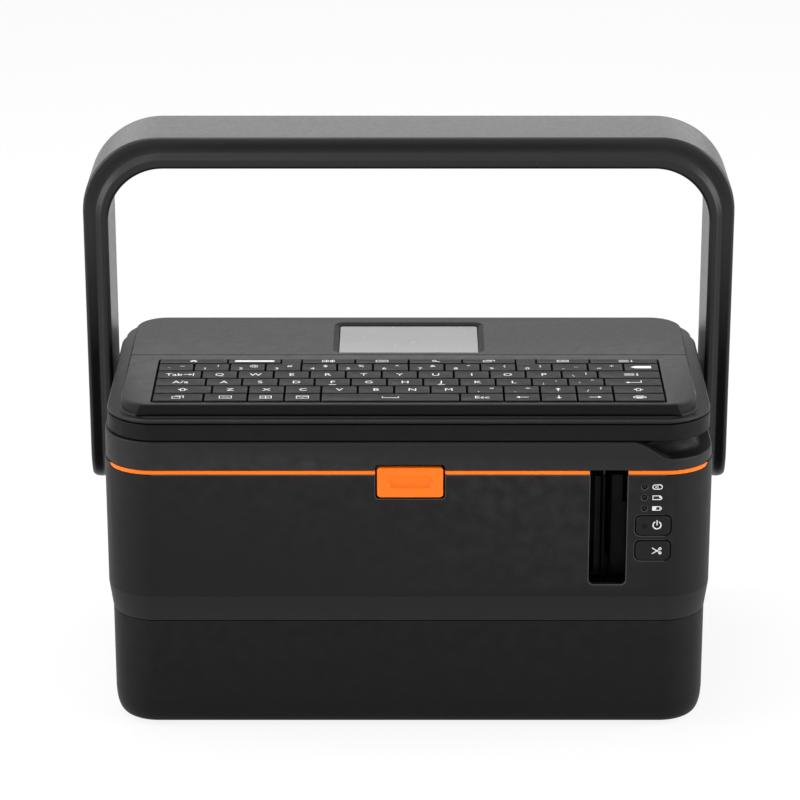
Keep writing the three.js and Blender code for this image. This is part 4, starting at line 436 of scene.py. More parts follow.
class Finishes:
    """Every finish of the printer, each built once."""

    def __init__(self) -> None:
        """Builds the materials."""
        charcoal = (0.0072, 0.0073, 0.0076)
        self.case = MouldedPlastic("charcoal_case", charcoal, shine=0.14, wear_and_highlight=3.5).material()
        # Light plastic for the front bevels of the housing's openings: a painted highlight along their lower
        # and side edges.
        self.edge = MouldedPlastic("charcoal_edge_highlight", (0.05, 0.051, 0.053), roughness=0.4, shine=0.4,
                                   wear_and_highlight=1.5).material()
        # Darker copy of the case plastic: painted shade on the base tray, the keyboard's lower case and the
        # lid's finger scoop.
        self.tray = MouldedPlastic("charcoal_painted_shade", (0.0052, 0.0053, 0.0055), shine=0.11,
                                   wear_and_highlight=3.5).material()
        # Lighter copy of the case plastic for the slanted band at the foot of the housing: painted light from
        # the floor below.
        self.slope = MouldedPlastic("charcoal_slope_painted_light", (0.0095, 0.0097, 0.01), shine=0.17,
                                    wear_and_highlight=3.0).material()
        # Lighter copy of the case plastic for the lid: painted light on its front band.
        self.lid = MouldedPlastic("charcoal_lid_painted_light", (0.0125, 0.0127, 0.0131), shine=0.17, wear_and_highlight=3.5).material()
        # Lighter copy of the case plastic for the keyboard cover: painted light from above on its plate.
        self.plate = MouldedPlastic("charcoal_plate_painted_light", (0.0135, 0.0137, 0.0141), roughness=0.44, shine=0.14,
                                    wear_and_highlight=5.0).material()
        # Darker copy of the case plastic for the walls of the display recess: painted shade.
        self.painted_recess_shade = MouldedPlastic("charcoal_recess_painted_shade", (0.009, 0.0092, 0.0096), roughness=0.5, shine=0.08,
                                     wear_and_highlight=3.0).material()
        self.handle = MouldedPlastic("charcoal_handle", (0.006, 0.0061, 0.0063), roughness=0.34,
                                     grain=1900.0,
                                     shine=0.34, wear_and_highlight=3.0).material()
        self.key = MouldedPlastic("satin_key", (0.0065, 0.0065, 0.0069), roughness=0.45, shine=0.065,
                                  grain=2600.0, strength=0.2, wear_and_highlight=4.0).material()
        self.button = MouldedPlastic("satin_button", (0.008, 0.0081, 0.0084), roughness=0.45, shine=0.15,
                                     wear_and_highlight=2.4).material()
        self.orange = MouldedPlastic("accent_orange", (1.0, 0.175, 0.004), roughness=0.34, shine=0.25,
                                     strength=0.12, wear_and_highlight=1.1).material()
        self.gloss = GlossPlastic("gloss_black", (0.0016, 0.0016, 0.0018)).material()
        self.throat = GlossPlastic("throat_black", (0.0012, 0.0012, 0.0013), 0.35, 0.05).material()
        self.dark = MouldedPlastic("inner_black", (0.004, 0.004, 0.0045), roughness=0.6,
                                   shine=0.15).material()
        self.light = GlossPlastic("smoked_light", (0.004, 0.0042, 0.0045), roughness=0.25,
                                  shine=0.2).material()
        self.pane = DisplayPane("display_pane", (0.24, 0.243, 0.24)).material()
        # Pale finish on the rim and sides of the display pane: a painted highlight.
        self.rim = Print("pane_rim_highlight", (0.75, 0.76, 0.76), 0.3).material()
        self.cell = MouldedPlastic("display_cell", (0.38, 0.4, 0.38), roughness=0.4).material()
        self.rubber = Rubber("soft_rubber", (0.007, 0.007, 0.007)).material()
        self.steel = Metal("rolled_steel", (0.42, 0.43, 0.45)).material()
        # Dark copy of the bare steel: painted shade that keeps the view through the exit slot black.
        self.shade_dark_steel = Metal("dark_steel_painted_shade", (0.012, 0.012, 0.013), 0.5).material()
        self.aluminium = Metal("cast_aluminium", (0.55, 0.56, 0.58), 0.42, (1.0, 1.0, 1.0), 0.3).material()
        self.brass = Metal("turned_brass", (0.58, 0.4, 0.13), 0.3).material()
        self.gear = MouldedPlastic("gear_nylon", (0.72, 0.7, 0.62), roughness=0.4, shine=0.4,
                                   wear_and_highlight=1.05).material()
        self.ceramic = Print("head_ceramic", (0.75, 0.75, 0.7), 0.25).material()
        self.board = CircuitBoard("solder_mask", (NEAR_AXIS, 0.07, 0.03)).material()
        self.cassette = MouldedPlastic("cassette_grey", (0.21, 0.22, 0.23), roughness=0.4, shine=0.4,
                                       wear_and_highlight=1.2).material()
        self.ink = Print("legend_ink", (0.78, 0.79, 0.8)).material()


# ---------------- mesh making


@dataclass(frozen=True)
class Extent:
    """Box of a CAD node at rest, in millimetres."""

    low: Vector
    high: Vector

    @classmethod
    def of(cls, node: str) -> "Extent":
        """Reads the box of a node from the frame."""
        low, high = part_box(node)
        return cls(low / MM, high / MM)

    @property
    def middle(self) -> Vector:
        """Middle of the box."""
        return (self.low + self.high) / 2

    @property
    def size(self) -> Vector:
        """Width, depth and height of the box."""
        return self.high - self.low

    def span(self, axis: int, spare: float = 0.0) -> Flat:
        """Both ends of the box along an axis, moved apart by a spare at each end."""
        return self.low[axis] - spare, self.high[axis] + spare


def placed(name: str, data: Optional[bpy.types.ID]) -> Piece:
    """Makes an object of a mesh, a curve, a lamp or a camera, and links it to the scene.

    Args:
        name: name of the object.
        data: what it shows.

    Returns:
        The new object.
    """
    made = bpy.data.objects.new(name, data)
    bpy.context.scene.collection.objects.link(made)
    return made


def paint(piece: Piece, *finishes: Material) -> None:
    """Adds materials to a piece, in order."""
    for finish in finishes:
        piece.data.materials.append(finish)


def mesh_object(name: str, points: Sequence[Spot], faces: Sequence[Sequence[int]]) -> Piece:
    """Makes a closed mesh object whose faces point outwards.

    Args:
        name: name of the object.
        points: corners in millimetres.
        faces: corner numbers of each face.

    Returns:
        The new object, in the scene.
    """
    mesh = bpy.data.meshes.new(name)
    mesh.from_pydata([Vector(p) * MM for p in points], [], [tuple(f) for f in faces])
    work = bmesh.new()
    work.from_mesh(mesh)
    bmesh.ops.remove_doubles(work, verts=work.verts, dist=SAME_POINT)
    bmesh.ops.recalc_face_normals(work, faces=work.faces)
    work.to_mesh(mesh)
    work.free()
    return placed(name, mesh)


def loft(name: str, rings: Sequence[Ring], looped: bool = False) -> Piece:
    """Skins a stack of rings that have the same number of points.

    Args:
        name: name of the object.
        rings: the rings, in order.
        looped: True joins the last ring to the first, False closes both ends with a flat face.

    Returns:
        The new object.
    """
    count = len(rings[0])
    points = [p for ring in rings for p in ring]
    faces: list[Sequence[int]] = []
    for row in range(len(rings) if looped else len(rings) - 1):
        here, there = row * count, ((row + 1) % len(rings)) * count
        for k in range(count):
            step = (k + 1) % count
            faces.append((here + k, here + step, there + step, there + k))
    if not looped:
        faces.append(tuple(reversed(range(count))))
        faces.append(tuple(range((len(rings) - 1) * count, len(rings) * count)))
    return mesh_object(name, points, faces)


def turns(count: int) -> list[float]:
    """Evenly spaced angles round a circle, in radians."""
    return [2 * math.pi * k / count for k in range(count)]


def rectangle(width: float, depth: float, radius: float, steps: int = 12) -> list[Flat]:
    """Outline of a rectangle with round corners about the origin, from the rear right corner on.

    Args:
        width: size along the first axis.
        depth: size along the second axis.
        radius: radius of the corners.
        steps: flats in each corner.

    Returns:
        The points, counter-clockwise.
    """
    radius = min(max(radius, 0.02), width / 2 - 0.01, depth / 2 - 0.01)
    outline = []
    for quarter, (sx, sy) in enumerate(((1, 1), (-1, 1), (-1, -1), (1, -1))):
        for k in range(steps + 1):
            angle = math.pi / 2 * (quarter + k / steps)
            outline.append((sx * (width / 2 - radius) + radius * math.cos(angle),
                            sy * (depth / 2 - radius) + radius * math.sin(angle)))
    return outline


def level(outline: Iterable[Flat], z: float, x: float = 0.0, y: float = 0.0) -> Ring:
    """Lays an outline flat at a height, moved to a place."""
    return [(px + x, py + y, z) for px, py in outline]


def upright(outline: Iterable[Flat], y: float, x: float = 0.0, z: float = 0.0) -> Ring:
    """Stands an outline up in a plane that faces the front."""
    return [(px + x, y, pz + z) for px, pz in outline]


def rounded(edge: float, steps: int = 4) -> list[Flat]:
    """Quarter round from the side of a piece to its end."""
    angles = [math.pi / 2 * k / steps for k in range(steps + 1)]
    return [(edge * (1 - math.cos(a)), edge * (1 - math.sin(a))) for a in angles]


@dataclass(frozen=True)
class Slab:
    """A rounded slab that can be drawn in at both ends."""

    width: float
    depth: float
    radius: float
    x: float = 0.0
    y: float = 0.0
    steps: int = 12

    def ring(self, z: float, inset: float = 0.0) -> Ring:
        """One ring of the slab at a height, drawn in by an amount."""
        outline = rectangle(self.width - 2 * inset, self.depth - 2 * inset, self.radius - inset, self.steps)
        return level(outline, z, self.x, self.y)

    def solid(self, name: str, low: float, high: float, bottom: float = 0.0, top: float = 0.0) -> Piece:
        """Makes the slab.

        Args:
            name: name of the object.
            low: height of its underside.
            high: height of its top.
            bottom: radius of the lower edge.
            top: radius of the upper edge.

        Returns:
            The new object.
        """
        rings = []
        if bottom > 0:
            rings += [self.ring(low + rise, inset) for inset, rise in reversed(rounded(bottom))]
        else:
            rings.append(self.ring(low))
        if top > 0:
            rings += [self.ring(high - rise, inset) for inset, rise in rounded(top)]
        else:
            rings.append(self.ring(high))
        return loft(name, rings)


def cuboid(name: str, x: Flat, y: Flat, z: Flat) -> Piece:
    """Makes a plain block between two corners, for cuts and inner blocks."""
    ring = [(x[0], y[0]), (x[1], y[0]), (x[1], y[1]), (x[0], y[1])]
    return loft(name, [level(ring, z[0]), level(ring, z[1])])


def turned(name: str, profile: Sequence[Flat], middle: Spot, axis: str, sides: int = 40,
           looped: bool = False) -> Piece:
    """Turns a profile about an axis.

    Args:
        name: name of the object.
        profile: pairs of radius and place along the axis.
        middle: a point on the axis.
        axis: X, Y or Z.
        sides: flats round the piece.
        looped: True for the profile of a ring.

    Returns:
        The new object.
    """
    rings = []
    for radius, along in profile:
        ring = []
        for angle in turns(sides):
            a, b = math.cos(angle) * radius, math.sin(angle) * radius
            offset = {"X": (along, a, b), "Y": (a, along, b), "Z": (a, b, along)}[axis]
            ring.append(tuple(m + o for m, o in zip(middle, offset)))
        rings.append(ring)
    return loft(name, rings, looped)


def front_prism(name: str, outline: Sequence[Flat], y: Flat, edge: float = 0.0) -> Piece:
    """Makes a prism along Y from an outline in X and Z.

    Args:
        name: name of the object.
        outline: the outline, counter-clockwise as seen from the front.
        y: front and rear end.
        edge: radius of the front edge, for outlines about the origin of their own middle.

    Returns:
        The new object.
    """
    middle = (sum(p[0] for p in outline) / len(outline), sum(p[1] for p in outline) / len(outline))
    half = (max(abs(p[0] - middle[0]) for p in outline), max(abs(p[1] - middle[1]) for p in outline))
    rings = []
    for inset, rise in (reversed(rounded(edge)) if edge > 0 else [(0.0, 0.0)]):
        share = (1 - inset / half[0], 1 - inset / half[1])
        drawn = [(middle[0] + (px - middle[0]) * share[0], middle[1] + (pz - middle[1]) * share[1])
                 for px, pz in outline]
        rings.append(upright(drawn, y[0] + rise))
    rings.append(upright(outline, y[1]))
    return loft(name, rings)


def bake(piece: Piece) -> None:
    """Applies every modifier of a piece to its mesh.

    Args:
        piece: what is changed.
    """
    view = bpy.context.evaluated_depsgraph_get()
    mesh = bpy.data.meshes.new_from_object(piece.evaluated_get(view))
    piece.modifiers.clear()
    old = piece.data
    piece.data = mesh
    bpy.data.meshes.remove(old)


def carve(piece: Piece, *tools: Piece) -> None:
    """Cuts tools from a piece and uses them up.

    Args:
        piece: the piece that is changed.
        tools: closed meshes.
    """
    for tool in tools:
        step = piece.modifiers.new("carve", "BOOLEAN")
        step.object, step.operation, step.solver = tool, "DIFFERENCE", "EXACT"
        bake(piece)
        bpy.data.objects.remove(tool)


def gather(piece: Piece, *others: Piece) -> None:
    """Adds the meshes of other objects to a piece and uses them up.

    Args:
        piece: the piece that is changed.
        others: objects whose meshes are added. Their faces keep their material numbers.
    """
    work = bmesh.new()
    work.from_mesh(piece.data)
    for other in others:
        work.from_mesh(other.data)
        bpy.data.objects.remove(other)
    work.to_mesh(piece.data)
    work.free()


def tidy(piece: Piece) -> None:
    """Welds a piece and merges the faces that lie in one plane.

    Args:
        piece: what is welded.
    """
    work = bmesh.new()
    work.from_mesh(piece.data)
    bmesh.ops.remove_doubles(work, verts=work.verts, dist=WELD)
    bmesh.ops.dissolve_limit(work, angle_limit=math.radians(FLAT_ANGLE), verts=work.verts, edges=work.edges)
    work.to_mesh(piece.data)
    work.free()


def confine(piece: Piece, box: Extent) -> None:
    """Brings the points that a bevel threw past a box back to its sides.

    Points that stand off a round corner inside the box stay where they are.

    Args:
        piece: object with its points in metres.
        box: the box.
    """
    for vertex in piece.data.vertices:
        for axis in range(3):
            low, high = box.low[axis] * MM, box.high[axis] * MM
            vertex.co[axis] = min(high, max(low, vertex.co[axis]))


def soften(piece: Piece, width: float = 0.35, segments: int = 2, angle: float = 30.0,
           merge: bool = True) -> Piece:
    """Rounds the sharp edges of a piece and smooths its shading.

    Args:
        piece: the piece that is changed.
        width: width of the rounded edge.
        segments: flats across it.
        angle: edges sharper than this, in degrees, are rounded.
        merge: True merges faces in one plane first.

    Returns:
        The same piece.
    """
    if merge:
        tidy(piece)
    if width > 0:
        step = piece.modifiers.new("edges", "BEVEL")
        step.width, step.segments, step.limit_method = width * MM, segments, "ANGLE"
        step.angle_limit = math.radians(angle)
        step.use_clamp_overlap = False
        bake(piece)
    piece.data.polygons.foreach_set("use_smooth", [True] * len(piece.data.polygons))
    piece.data.set_sharp_from_angle(angle=math.radians(SHARP_ANGLE))
    step = piece.modifiers.new("shading", "WEIGHTED_NORMAL")
    step.keep_sharp = True
    bake(piece)
    return piece


class Lettering:
    """Print laid on one flat face: every mark is a thin slab on that face."""

    def __init__(self, name: str, origin: Spot, up: Spot, proud: float = 0.03) -> None:
        """Starts the print.

        Args:
            name: name of the piece.
            origin: middle of the face.
            up: direction in which the marks stand. They run along X.
            proud: how far the ink stands above the face.
        """
        self.name = name
        self.proud = proud
        self.marks = 0
        self.origin, self.right, self.up = Vector(origin), Vector((1, 0, 0)), Vector(up)
        self.out = self.right.cross(self.up)
        self.points: list[Vector] = []
        self.faces: list[Tuple[int, ...]] = []

    def _spot(self, u: float, v: float, height: float) -> Vector:
        """Point on the face, raised by a height."""
        return self.origin + self.right * u + self.up * v + self.out * height

    def area(self, corners: Sequence[Flat]) -> None:
        """Adds a filled convex outline.

        Args:
            corners: its corners, in order.
        """
        start, count = len(self.points), len(corners)
        self.marks += 1
        height = self.proud + 0.002 * (self.marks % 9)
        self.points += [self._spot(u, v, height) for u, v in corners]
        self.points += [self._spot(u, v, 0.0) for u, v in corners]
        self.faces.append(tuple(start + k for k in range(count)))
        self.faces.append(tuple(start + count + k for k in reversed(range(count))))
        for k in range(count):
            step = (k + 1) % count
            self.faces.append((start + step, start + k, start + count + k, start + count + step))

    def line(self, corners: Sequence[Flat], width: float, closed: bool = False) -> None:
        """Adds a stroke of even width through a list of points.

        Args:
            corners: the points.
            width: width of the stroke.
            closed: whether it ends where it starts.
        """
        stops = list(corners) + ([corners[0]] if closed else [])
        for (u0, v0), (u1, v1) in zip(stops, stops[1:]):
            length = math.hypot(u1 - u0, v1 - v0) or 1.0
            du, dv = (u1 - u0) / length * width / 2, (v1 - v0) / length * width / 2
            self.area([(u0 - du + dv, v0 - dv - du), (u1 + du + dv, v1 + dv - du),
                       (u1 + du - dv, v1 + dv + du), (u0 - du - dv, v0 - dv + du)])

    def disc(self, u: float, v: float, radius: float) -> None:
        """Adds a filled disc."""
        self.area([(u + radius * math.cos(a), v + radius * math.sin(a)) for a in turns(16)])

    def arc(self, u: float, v: float, radius: float, width: float, start: float = 0.0,
            end: float = 360.0) -> None:
        """Adds part of a circle line, between two angles in degrees.

        Args:
            u: middle to the right.
            v: middle upwards.
            radius: radius of the line.
            width: width of the line.
            start: first angle.
            end: last angle.
        """
        count = max(4, int(abs(end - start) / 20))
        angles = [math.radians(start + (end - start) * k / count) for k in range(count + 1)]
        self.line([(u + radius * math.cos(a), v + radius * math.sin(a)) for a in angles], width)

    def text(self, words: str, u: float, v: float, height: float, stretch: float = 1.0) -> None:
        """Adds text whose capitals have the given height, centred on a point.

        Args:
            words: the text.
            u: middle, along X.
            v: middle of the capitals, along the upward direction.
            height: height of the capitals.
            stretch: width against the normal width.
        """
        curve = bpy.data.curves.new("words", "FONT")
        curve.body, curve.align_x, curve.size = words, "CENTER", height / 0.7
        curve.resolution_u, curve.extrude = 3, self.proud / 2
        shown = placed("words", curve)
        view = bpy.context.evaluated_depsgraph_get()
        mesh = bpy.data.meshes.new_from_object(shown.evaluated_get(view))
        start = len(self.points)
        for vertex in mesh.vertices:
            spot = (u + vertex.co.x * stretch, v + vertex.co.y - height / 2)
            self.points.append(self._spot(*spot, self.proud / 2 + vertex.co.z))
        self.faces += [tuple(start + k for k in face.vertices) for face in mesh.polygons]
        bpy.data.objects.remove(shown)
        bpy.data.curves.remove(curve)
        bpy.data.meshes.remove(mesh)

    def finished(self, ink: Material) -> Piece:
        """Makes the piece.

        Args:
            ink: material of the print.

        Returns:
            The new object.
        """
        mesh = bpy.data.meshes.new(self.name)
        mesh.from_pydata([p * MM for p in self.points], [], self.faces)
        mesh.materials.append(ink)
        return placed(self.name, mesh)


class Workshop:
    """Fits finished meshes to the bodies of the frame."""

    def __init__(self, finishes: Finishes) -> None:
        """Starts with the finishes.

        Args:
            finishes: every material of the printer.
        """
        self.finishes = finishes
        self.body_of = {node: body for body, nodes in frame["record"]["behaviour"]["bodies"].items()
                        for node in nodes}

    def fit(self, piece: Piece, slot: Slot, finish: Material, *nodes: str,
            body: Optional[str] = None) -> None:
        """Dresses a piece and makes it ride on a body.

        Args:
            piece: the finished mesh.
            slot: slot of the record that its finish stands for; not used.
            finish: its main material.
            nodes: CAD nodes that it replaces.
            body: body that it rides on, if it replaces no node.
        """
        if not piece.data.materials:
            paint(piece, finish)
        elif piece.data.materials[0] is None:
            piece.data.materials[0] = finish
        body = body or self.body_of[nodes[0]]
        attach(piece, body)
        if nodes:
            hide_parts(*nodes)
        log.info("piece %s on %s, %d faces", piece.name, body, len(piece.data.polygons))

    def refined(self, node: str, name: str, slot: Slot, finish: Material, edge: float = 0.25,
                choose: Optional[Callable[[Vector], int]] = None,
                others: Sequence[Material] = ()) -> None:
        """Makes a piece from the exact shape of a CAD node, with rounded edges.

        Args:
            node: the node.
            name: name of the piece.
            slot: slot of the record.
            finish: main material.
            edge: width of the rounded edges.
            choose: tells from the middle of a face, in millimetres, which material it has.
            others: materials that follow the main one.
        """
        source = frame["nodes"][node]
        mesh = source.data.copy()
        mesh.materials.clear()
        mesh.name = name
        piece = placed(name, mesh)
        soften(piece, edge)
        paint(piece, finish, *others)
        if choose is not None:
            for face in piece.data.polygons:
                face.material_index = choose(face.center / MM)
        self.fit(piece, slot, finish, node)


@dataclass
class Assembly:
    """Sub-assembly whose pieces one workshop fits."""

    shop: Workshop

    @property
    def look(self) -> Finishes:
        """Every finish of the printer."""
        return self.shop.finishes

    def build(self) -> None:
        """Builds every piece of the sub-assembly."""
        raise NotImplementedError


# ---------------- lower case


@dataclass
class LowerCase(Assembly):
    """Base tray with its feet, battery door, battery, board and sockets."""

    edge_width: float = 4.4
    edge_height: float = 12.0
    edge_step: float = 0.12
    corner: float = 23.0
    wall: float = 2.8
    floor: float = 4.0
    foot_recess: float = 9.3
    gap: float = 0.3
    door_ledge: float = 3.0
    board_thick: float = 1.7
    chip_height: float = 5.5

    def build(self) -> None:
        """Builds the pieces."""
        self.tray()
        look = self.look
        for end in ("front", "rear"):
            for side in ("left", "right"):
                self.foot(f"foot_{end}_{side}")
        self.shop.refined("battery_door", "battery_cover", Slot.CASE, look.case, 0.3)
        self.shop.refined("battery_pack", "battery_block", Slot.BUTTON, look.button, 0.3)
        top = Extent.of("main_board").low.z + self.board_thick

        def part(middle: Vector) -> int:
            """Tells chips from capacitors and bare board.

            Args:
                middle: middle of a face.

            Returns:
                index of its finish: board, dark or aluminium.
            """
            if middle.z < top:
                return 0
            return 2 if middle.z > top + self.chip_height else 1

        self.shop.refined("main_board", "control_board", Slot.BOARD, look.board, 0.1, part,
                          (look.dark, look.aluminium))
        self.shop.refined("power_inlet", "power_socket", Slot.BUTTON, look.button, 0.2)
        self.shop.refined("data_socket", "data_port", Slot.ALUMINIUM, look.aluminium, 0.2)

    def tray(self) -> None:
        """Moulds the tray: a rounded bowl with holes for the sockets, the door and the feet."""
        box = Extent.of("base_tray")
        shape = Slab(box.size.x, box.size.y, self.corner, box.middle.x, box.middle.y, 16)
        bottom, top = box.low.z, box.high.z
        width, height = self.edge_width - self.edge_step, self.edge_height
        rings = [shape.ring(bottom + height * rise, self.edge_step + width * inset)
                 for inset, rise in reversed(rounded(1.0, 10))]
        rings += [shape.ring(bottom + height + 0.25), shape.ring(top), shape.ring(top, self.wall)]
        width, height = self.edge_width - self.wall, self.edge_height - self.wall
        rings += [shape.ring(bottom + self.floor + height * rise, self.wall + width * inset)
                  for inset, rise in rounded(1.0, 4)]
        piece = loft("tray_shell", rings)
        door, ledge = Extent.of("battery_door"), self.door_ledge
        tools = [
            cuboid("cut", door.span(0, self.gap), door.span(1, self.gap),
                   (bottom - 5, door.high.z + self.gap)),
            cuboid("cut", door.span(0, -ledge), door.span(1, -ledge), (bottom, bottom + 9)),
        ]
        for node in ("power_inlet", "data_socket"):
            hole = Extent.of(node)
            tools.append(cuboid("cut", hole.span(0, self.gap), (box.high.y - 8, box.high.y + 8),
                                hole.span(2, self.gap)))
        for end in ("front", "rear"):
            for side in ("left", "right"):
                foot = Extent.of(f"foot_{end}_{side}").middle
                tools.append(turned("cut", [(self.foot_recess, bottom - 4), (self.foot_recess, bottom + 1)],
                                    (foot.x, foot.y, 0), "Z"))
        carve(piece, *tools)
        soften(piece, 0.3)
        # The tray gets the darker copy of the case plastic: painted shade.
        self.shop.fit(piece, Slot.CASE, self.look.tray, "base_tray")

    def foot(self, node: str) -> None:
        """Turns one foot with a shallow ring groove in its tread.

        Args:
            node: CAD node that it replaces.
        """
        box = Extent.of(node)
        radius, top = box.size.x / 2, box.high.z
        profile = [(NEAR_AXIS, 0.25), (radius * 0.45, 0.25), (radius * 0.5, 0.0), (radius - 1.0, 0.0),
                   (radius - 0.3, 0.2), (radius, 0.7), (radius, top - 0.2), (radius - 0.2, top),
                   (NEAR_AXIS, top)]
        piece = turned(node.replace("foot", "pad"), profile, (box.middle.x, box.middle.y, 0), "Z", 48)
        soften(piece, 0.0)
        self.shop.fit(piece, Slot.RUBBER, self.look.rubber, node)


# ---------------- main case


@dataclass
class MainCase(Assembly):
    """Housing with its accent strips, exit chute, lights, tube inlet and printed signs."""

    corner: float = 25.0
    wall: float = 2.8
    slope_height: float = 14.0
    slope_inset: float = 2.0
    strip_depth: float = 2.5
    strip_height: float = 2.0
    strip_wrap: float = 60.0
    strip_tip: float = 7.0
    slot_corner: float = 2.6
    gap: float = 0.3
    rear_start: float = 87.0
    rear_drop: float = 3.8
    crease_half: float = 0.45
    button_gap: float = 0.6
    release_gap: float = 0.75
    light_step: float = 5.8
    light_hole: float = 1.5
    inlet_hole: float = 8.3
    pivot_hole: float = 6.3
    post_y: float = 62.0
    ear_radius: float = 5.0

    def build(self) -> None:
        """Builds the pieces."""
        look = self.look
        self.housing()
        for side in ("left", "centre", "right"):
            self.strip(side)
        self.chute()
        self.lights()
        self.inlet()
        self.signs()
        for side in ("left", "right"):
            self.shop.refined(f"handle_pivot_{side}", f"pivot_bush_{side}", Slot.STEEL, look.steel, 0.3)
            self.shop.refined(f"hinge_pin_{side}", f"hinge_rod_{side}", Slot.STEEL, look.steel, 0.2)

    def front_line(self, left: float, right: float, inset: float) -> list[Flat]:
        """Line along the front of the case and round its corners.

        Args:
            left: place of its left end, or a value past the corner for a wrapped end.
            right: place of its right end, likewise.
            inset: how far it lies inside the outer face.

        Returns:
            Points from left to right.
        """
        box = Extent.of("mid_housing")
        reach, front = box.size.x / 2 - self.corner, box.low.y
        radius = self.corner - inset
        steps, parts = 14, 24
        arc = [math.radians(self.strip_wrap) * k / steps for k in range(steps + 1)]
        points = []
        if left < -reach:
            points += [(-reach - radius * math.sin(a), front + self.corner - radius * math.cos(a))
                       for a in reversed(arc)]
        else:
            points.append((left, front + inset))
        straight = [points[-1][0] + (min(right, reach) - points[-1][0]) * k / parts
                    for k in range(1, parts + 1)]
        points += [(x, front + inset) for x in straight]
        if right > reach:
            points += [(reach + radius * math.sin(a), front + self.corner - radius * math.cos(a))
                       for a in arc[1:]]
        return points

    def strip_solid(self, name: str, left: float, right: float, spare: float = 0.0) -> Piece:
        """Sweeps one accent strip, whose free ends curve up to a tip.

        Args:
            name: name of the object.
            left: place of its left end.
            right: place of its right end.
            spare: clearance that is added on all sides, for the seat.

        Returns:
            The new object.
        """
        reach = Extent.of("mid_housing").size.x / 2 - self.corner
        top = Extent.of("trim_left").high.z
        outer = self.front_line(left, right, -spare * 12)
        inner = self.front_line(left, right, self.strip_depth + spare)
        line = self.front_line(left, right, 0.0)
        travel = [0.0]
        for (x0, y0), (x1, y1) in zip(line, line[1:]):
            travel.append(travel[-1] + math.hypot(x1 - x0, y1 - y0))
        rings = []
        for k, (near, far) in enumerate(zip(outer, inner)):
            from_tip = min(travel[k] if left < -reach else 1e9,
                           travel[-1] - travel[k] if right > reach else 1e9)
            share = min(1.0, max(0.0, from_tip / self.strip_tip))
            height = self.strip_height * (0.12 + 0.88 * math.sqrt(max(0.0, 1 - (1 - share) ** 2)))
            low, high = top - height - spare, top + spare * 20
            rings.append([(near[0], near[1], low), (far[0], far[1], low), (far[0], far[1], high),
                          (near[0], near[1], high)])
        return loft(name, rings)

    def strip(self, side: str) -> None:
        """Fits one accent strip.

        Args:
            side: left, centre or right.
        """
        box = Extent.of(f"trim_{side}")
        left = -FAR if side == "left" else box.low.x
        right = FAR if side == "right" else box.high.x
        piece = self.strip_solid(f"accent_{side}", left, right)
        soften(piece, 0.3, 3)
        confine(piece, box)
        self.shop.fit(piece, Slot.ORANGE, self.look.orange, f"trim_{side}")

    def housing(self) -> None:
        """Moulds the housing: four walls with every opening."""
        box = Extent.of("mid_housing")
        bottom = box.low.z
        top = Extent.of("trim_left").high.z
        shape = Slab(box.size.x, box.size.y, self.corner, box.middle.x, box.middle.y, 18)
        crease = bottom + self.slope_height
        blend = self.crease_half
        rings = [shape.ring(bottom, self.slope_inset), shape.ring(crease - blend, 0.065),
                 shape.ring(crease, 0.02), shape.ring(crease + blend), shape.ring(top),
                 shape.ring(top, self.wall), shape.ring(crease + 1, self.wall),
                 shape.ring(crease + 1, self.wall + self.slope_inset),
                 shape.ring(bottom, self.wall + self.slope_inset)]
        piece = loft("housing_shell", rings, looped=True)
        front, back = box.low.y, box.high.y
        slot = Extent.of("exit_chute")
        button = Extent.of("release_button")
        slot_x = (Extent.of("trim_centre").high.x + self.gap, Extent.of("trim_right").low.x - self.gap)
        release_x = (Extent.of("trim_left").high.x, Extent.of("trim_centre").low.x)
        depth = (front - 6, front + 6)
        tools = [
            self.notch(slot_x, slot.low.z + 1.2, top + 20, self.slot_corner, depth),
            self.notch(release_x, button.low.z - self.release_gap, top + 20, 1.6, depth),
        ]
        for node in ("power_button", "cut_button"):
            hole = Extent.of(node)
            outline = rectangle(hole.size.x + self.button_gap, hole.size.z + self.button_gap, 3.1, 8)
            tools.append(front_prism("cut", [(x + hole.middle.x, z + hole.middle.z) for x, z in outline],
                                     depth))
        lights = Extent.of("status_lights")
        for step in (-1, 0, 1):
            tools.append(turned("cut", [(self.light_hole, end) for end in depth],
                                (lights.middle.x, 0, lights.middle.z + self.light_step * step), "Y", 24))
        inlet = Extent.of("tube_inlet").middle
        tools.append(turned("cut", [(self.inlet_hole, back - 8), (self.inlet_hole, back + 4)],
                            (inlet.x, 0, inlet.z), "Y"))
        tools.append(cuboid("cut", (-FAR, FAR), (self.rear_start, 120), (top - self.rear_drop, top + 20)))
        for side in ("left", "centre", "right"):
            seat = Extent.of(f"trim_{side}")
            left = -FAR if side == "left" else seat.low.x - 1
            right = FAR if side == "right" else seat.high.x + 1
            tools.append(self.strip_solid("cut", left, right, self.gap))
        for side in ("left", "right"):
            pin = Extent.of(f"handle_pivot_{side}")
            reach = box.size.x / 2
            sign = -1 if side == "left" else 1
            ends = sorted((sign * (reach - 8), sign * (reach + 8)))
            tools.append(turned("cut", [(self.pivot_hole, end) for end in ends],
                                (0, pin.middle.y, pin.middle.z), "X", 32))
        carve(piece, *tools)
        soften(piece, 0.32)
        confine(piece, box)
        paint(piece, self.look.case, self.look.slope, self.look.edge)
        for face in piece.data.polygons:
            x, y, z = face.center / MM
            # Faces below the crease get the lighter slope plastic: painted light.
            if z < crease and abs(face.normal.z) < 0.5:
                face.material_index = 1
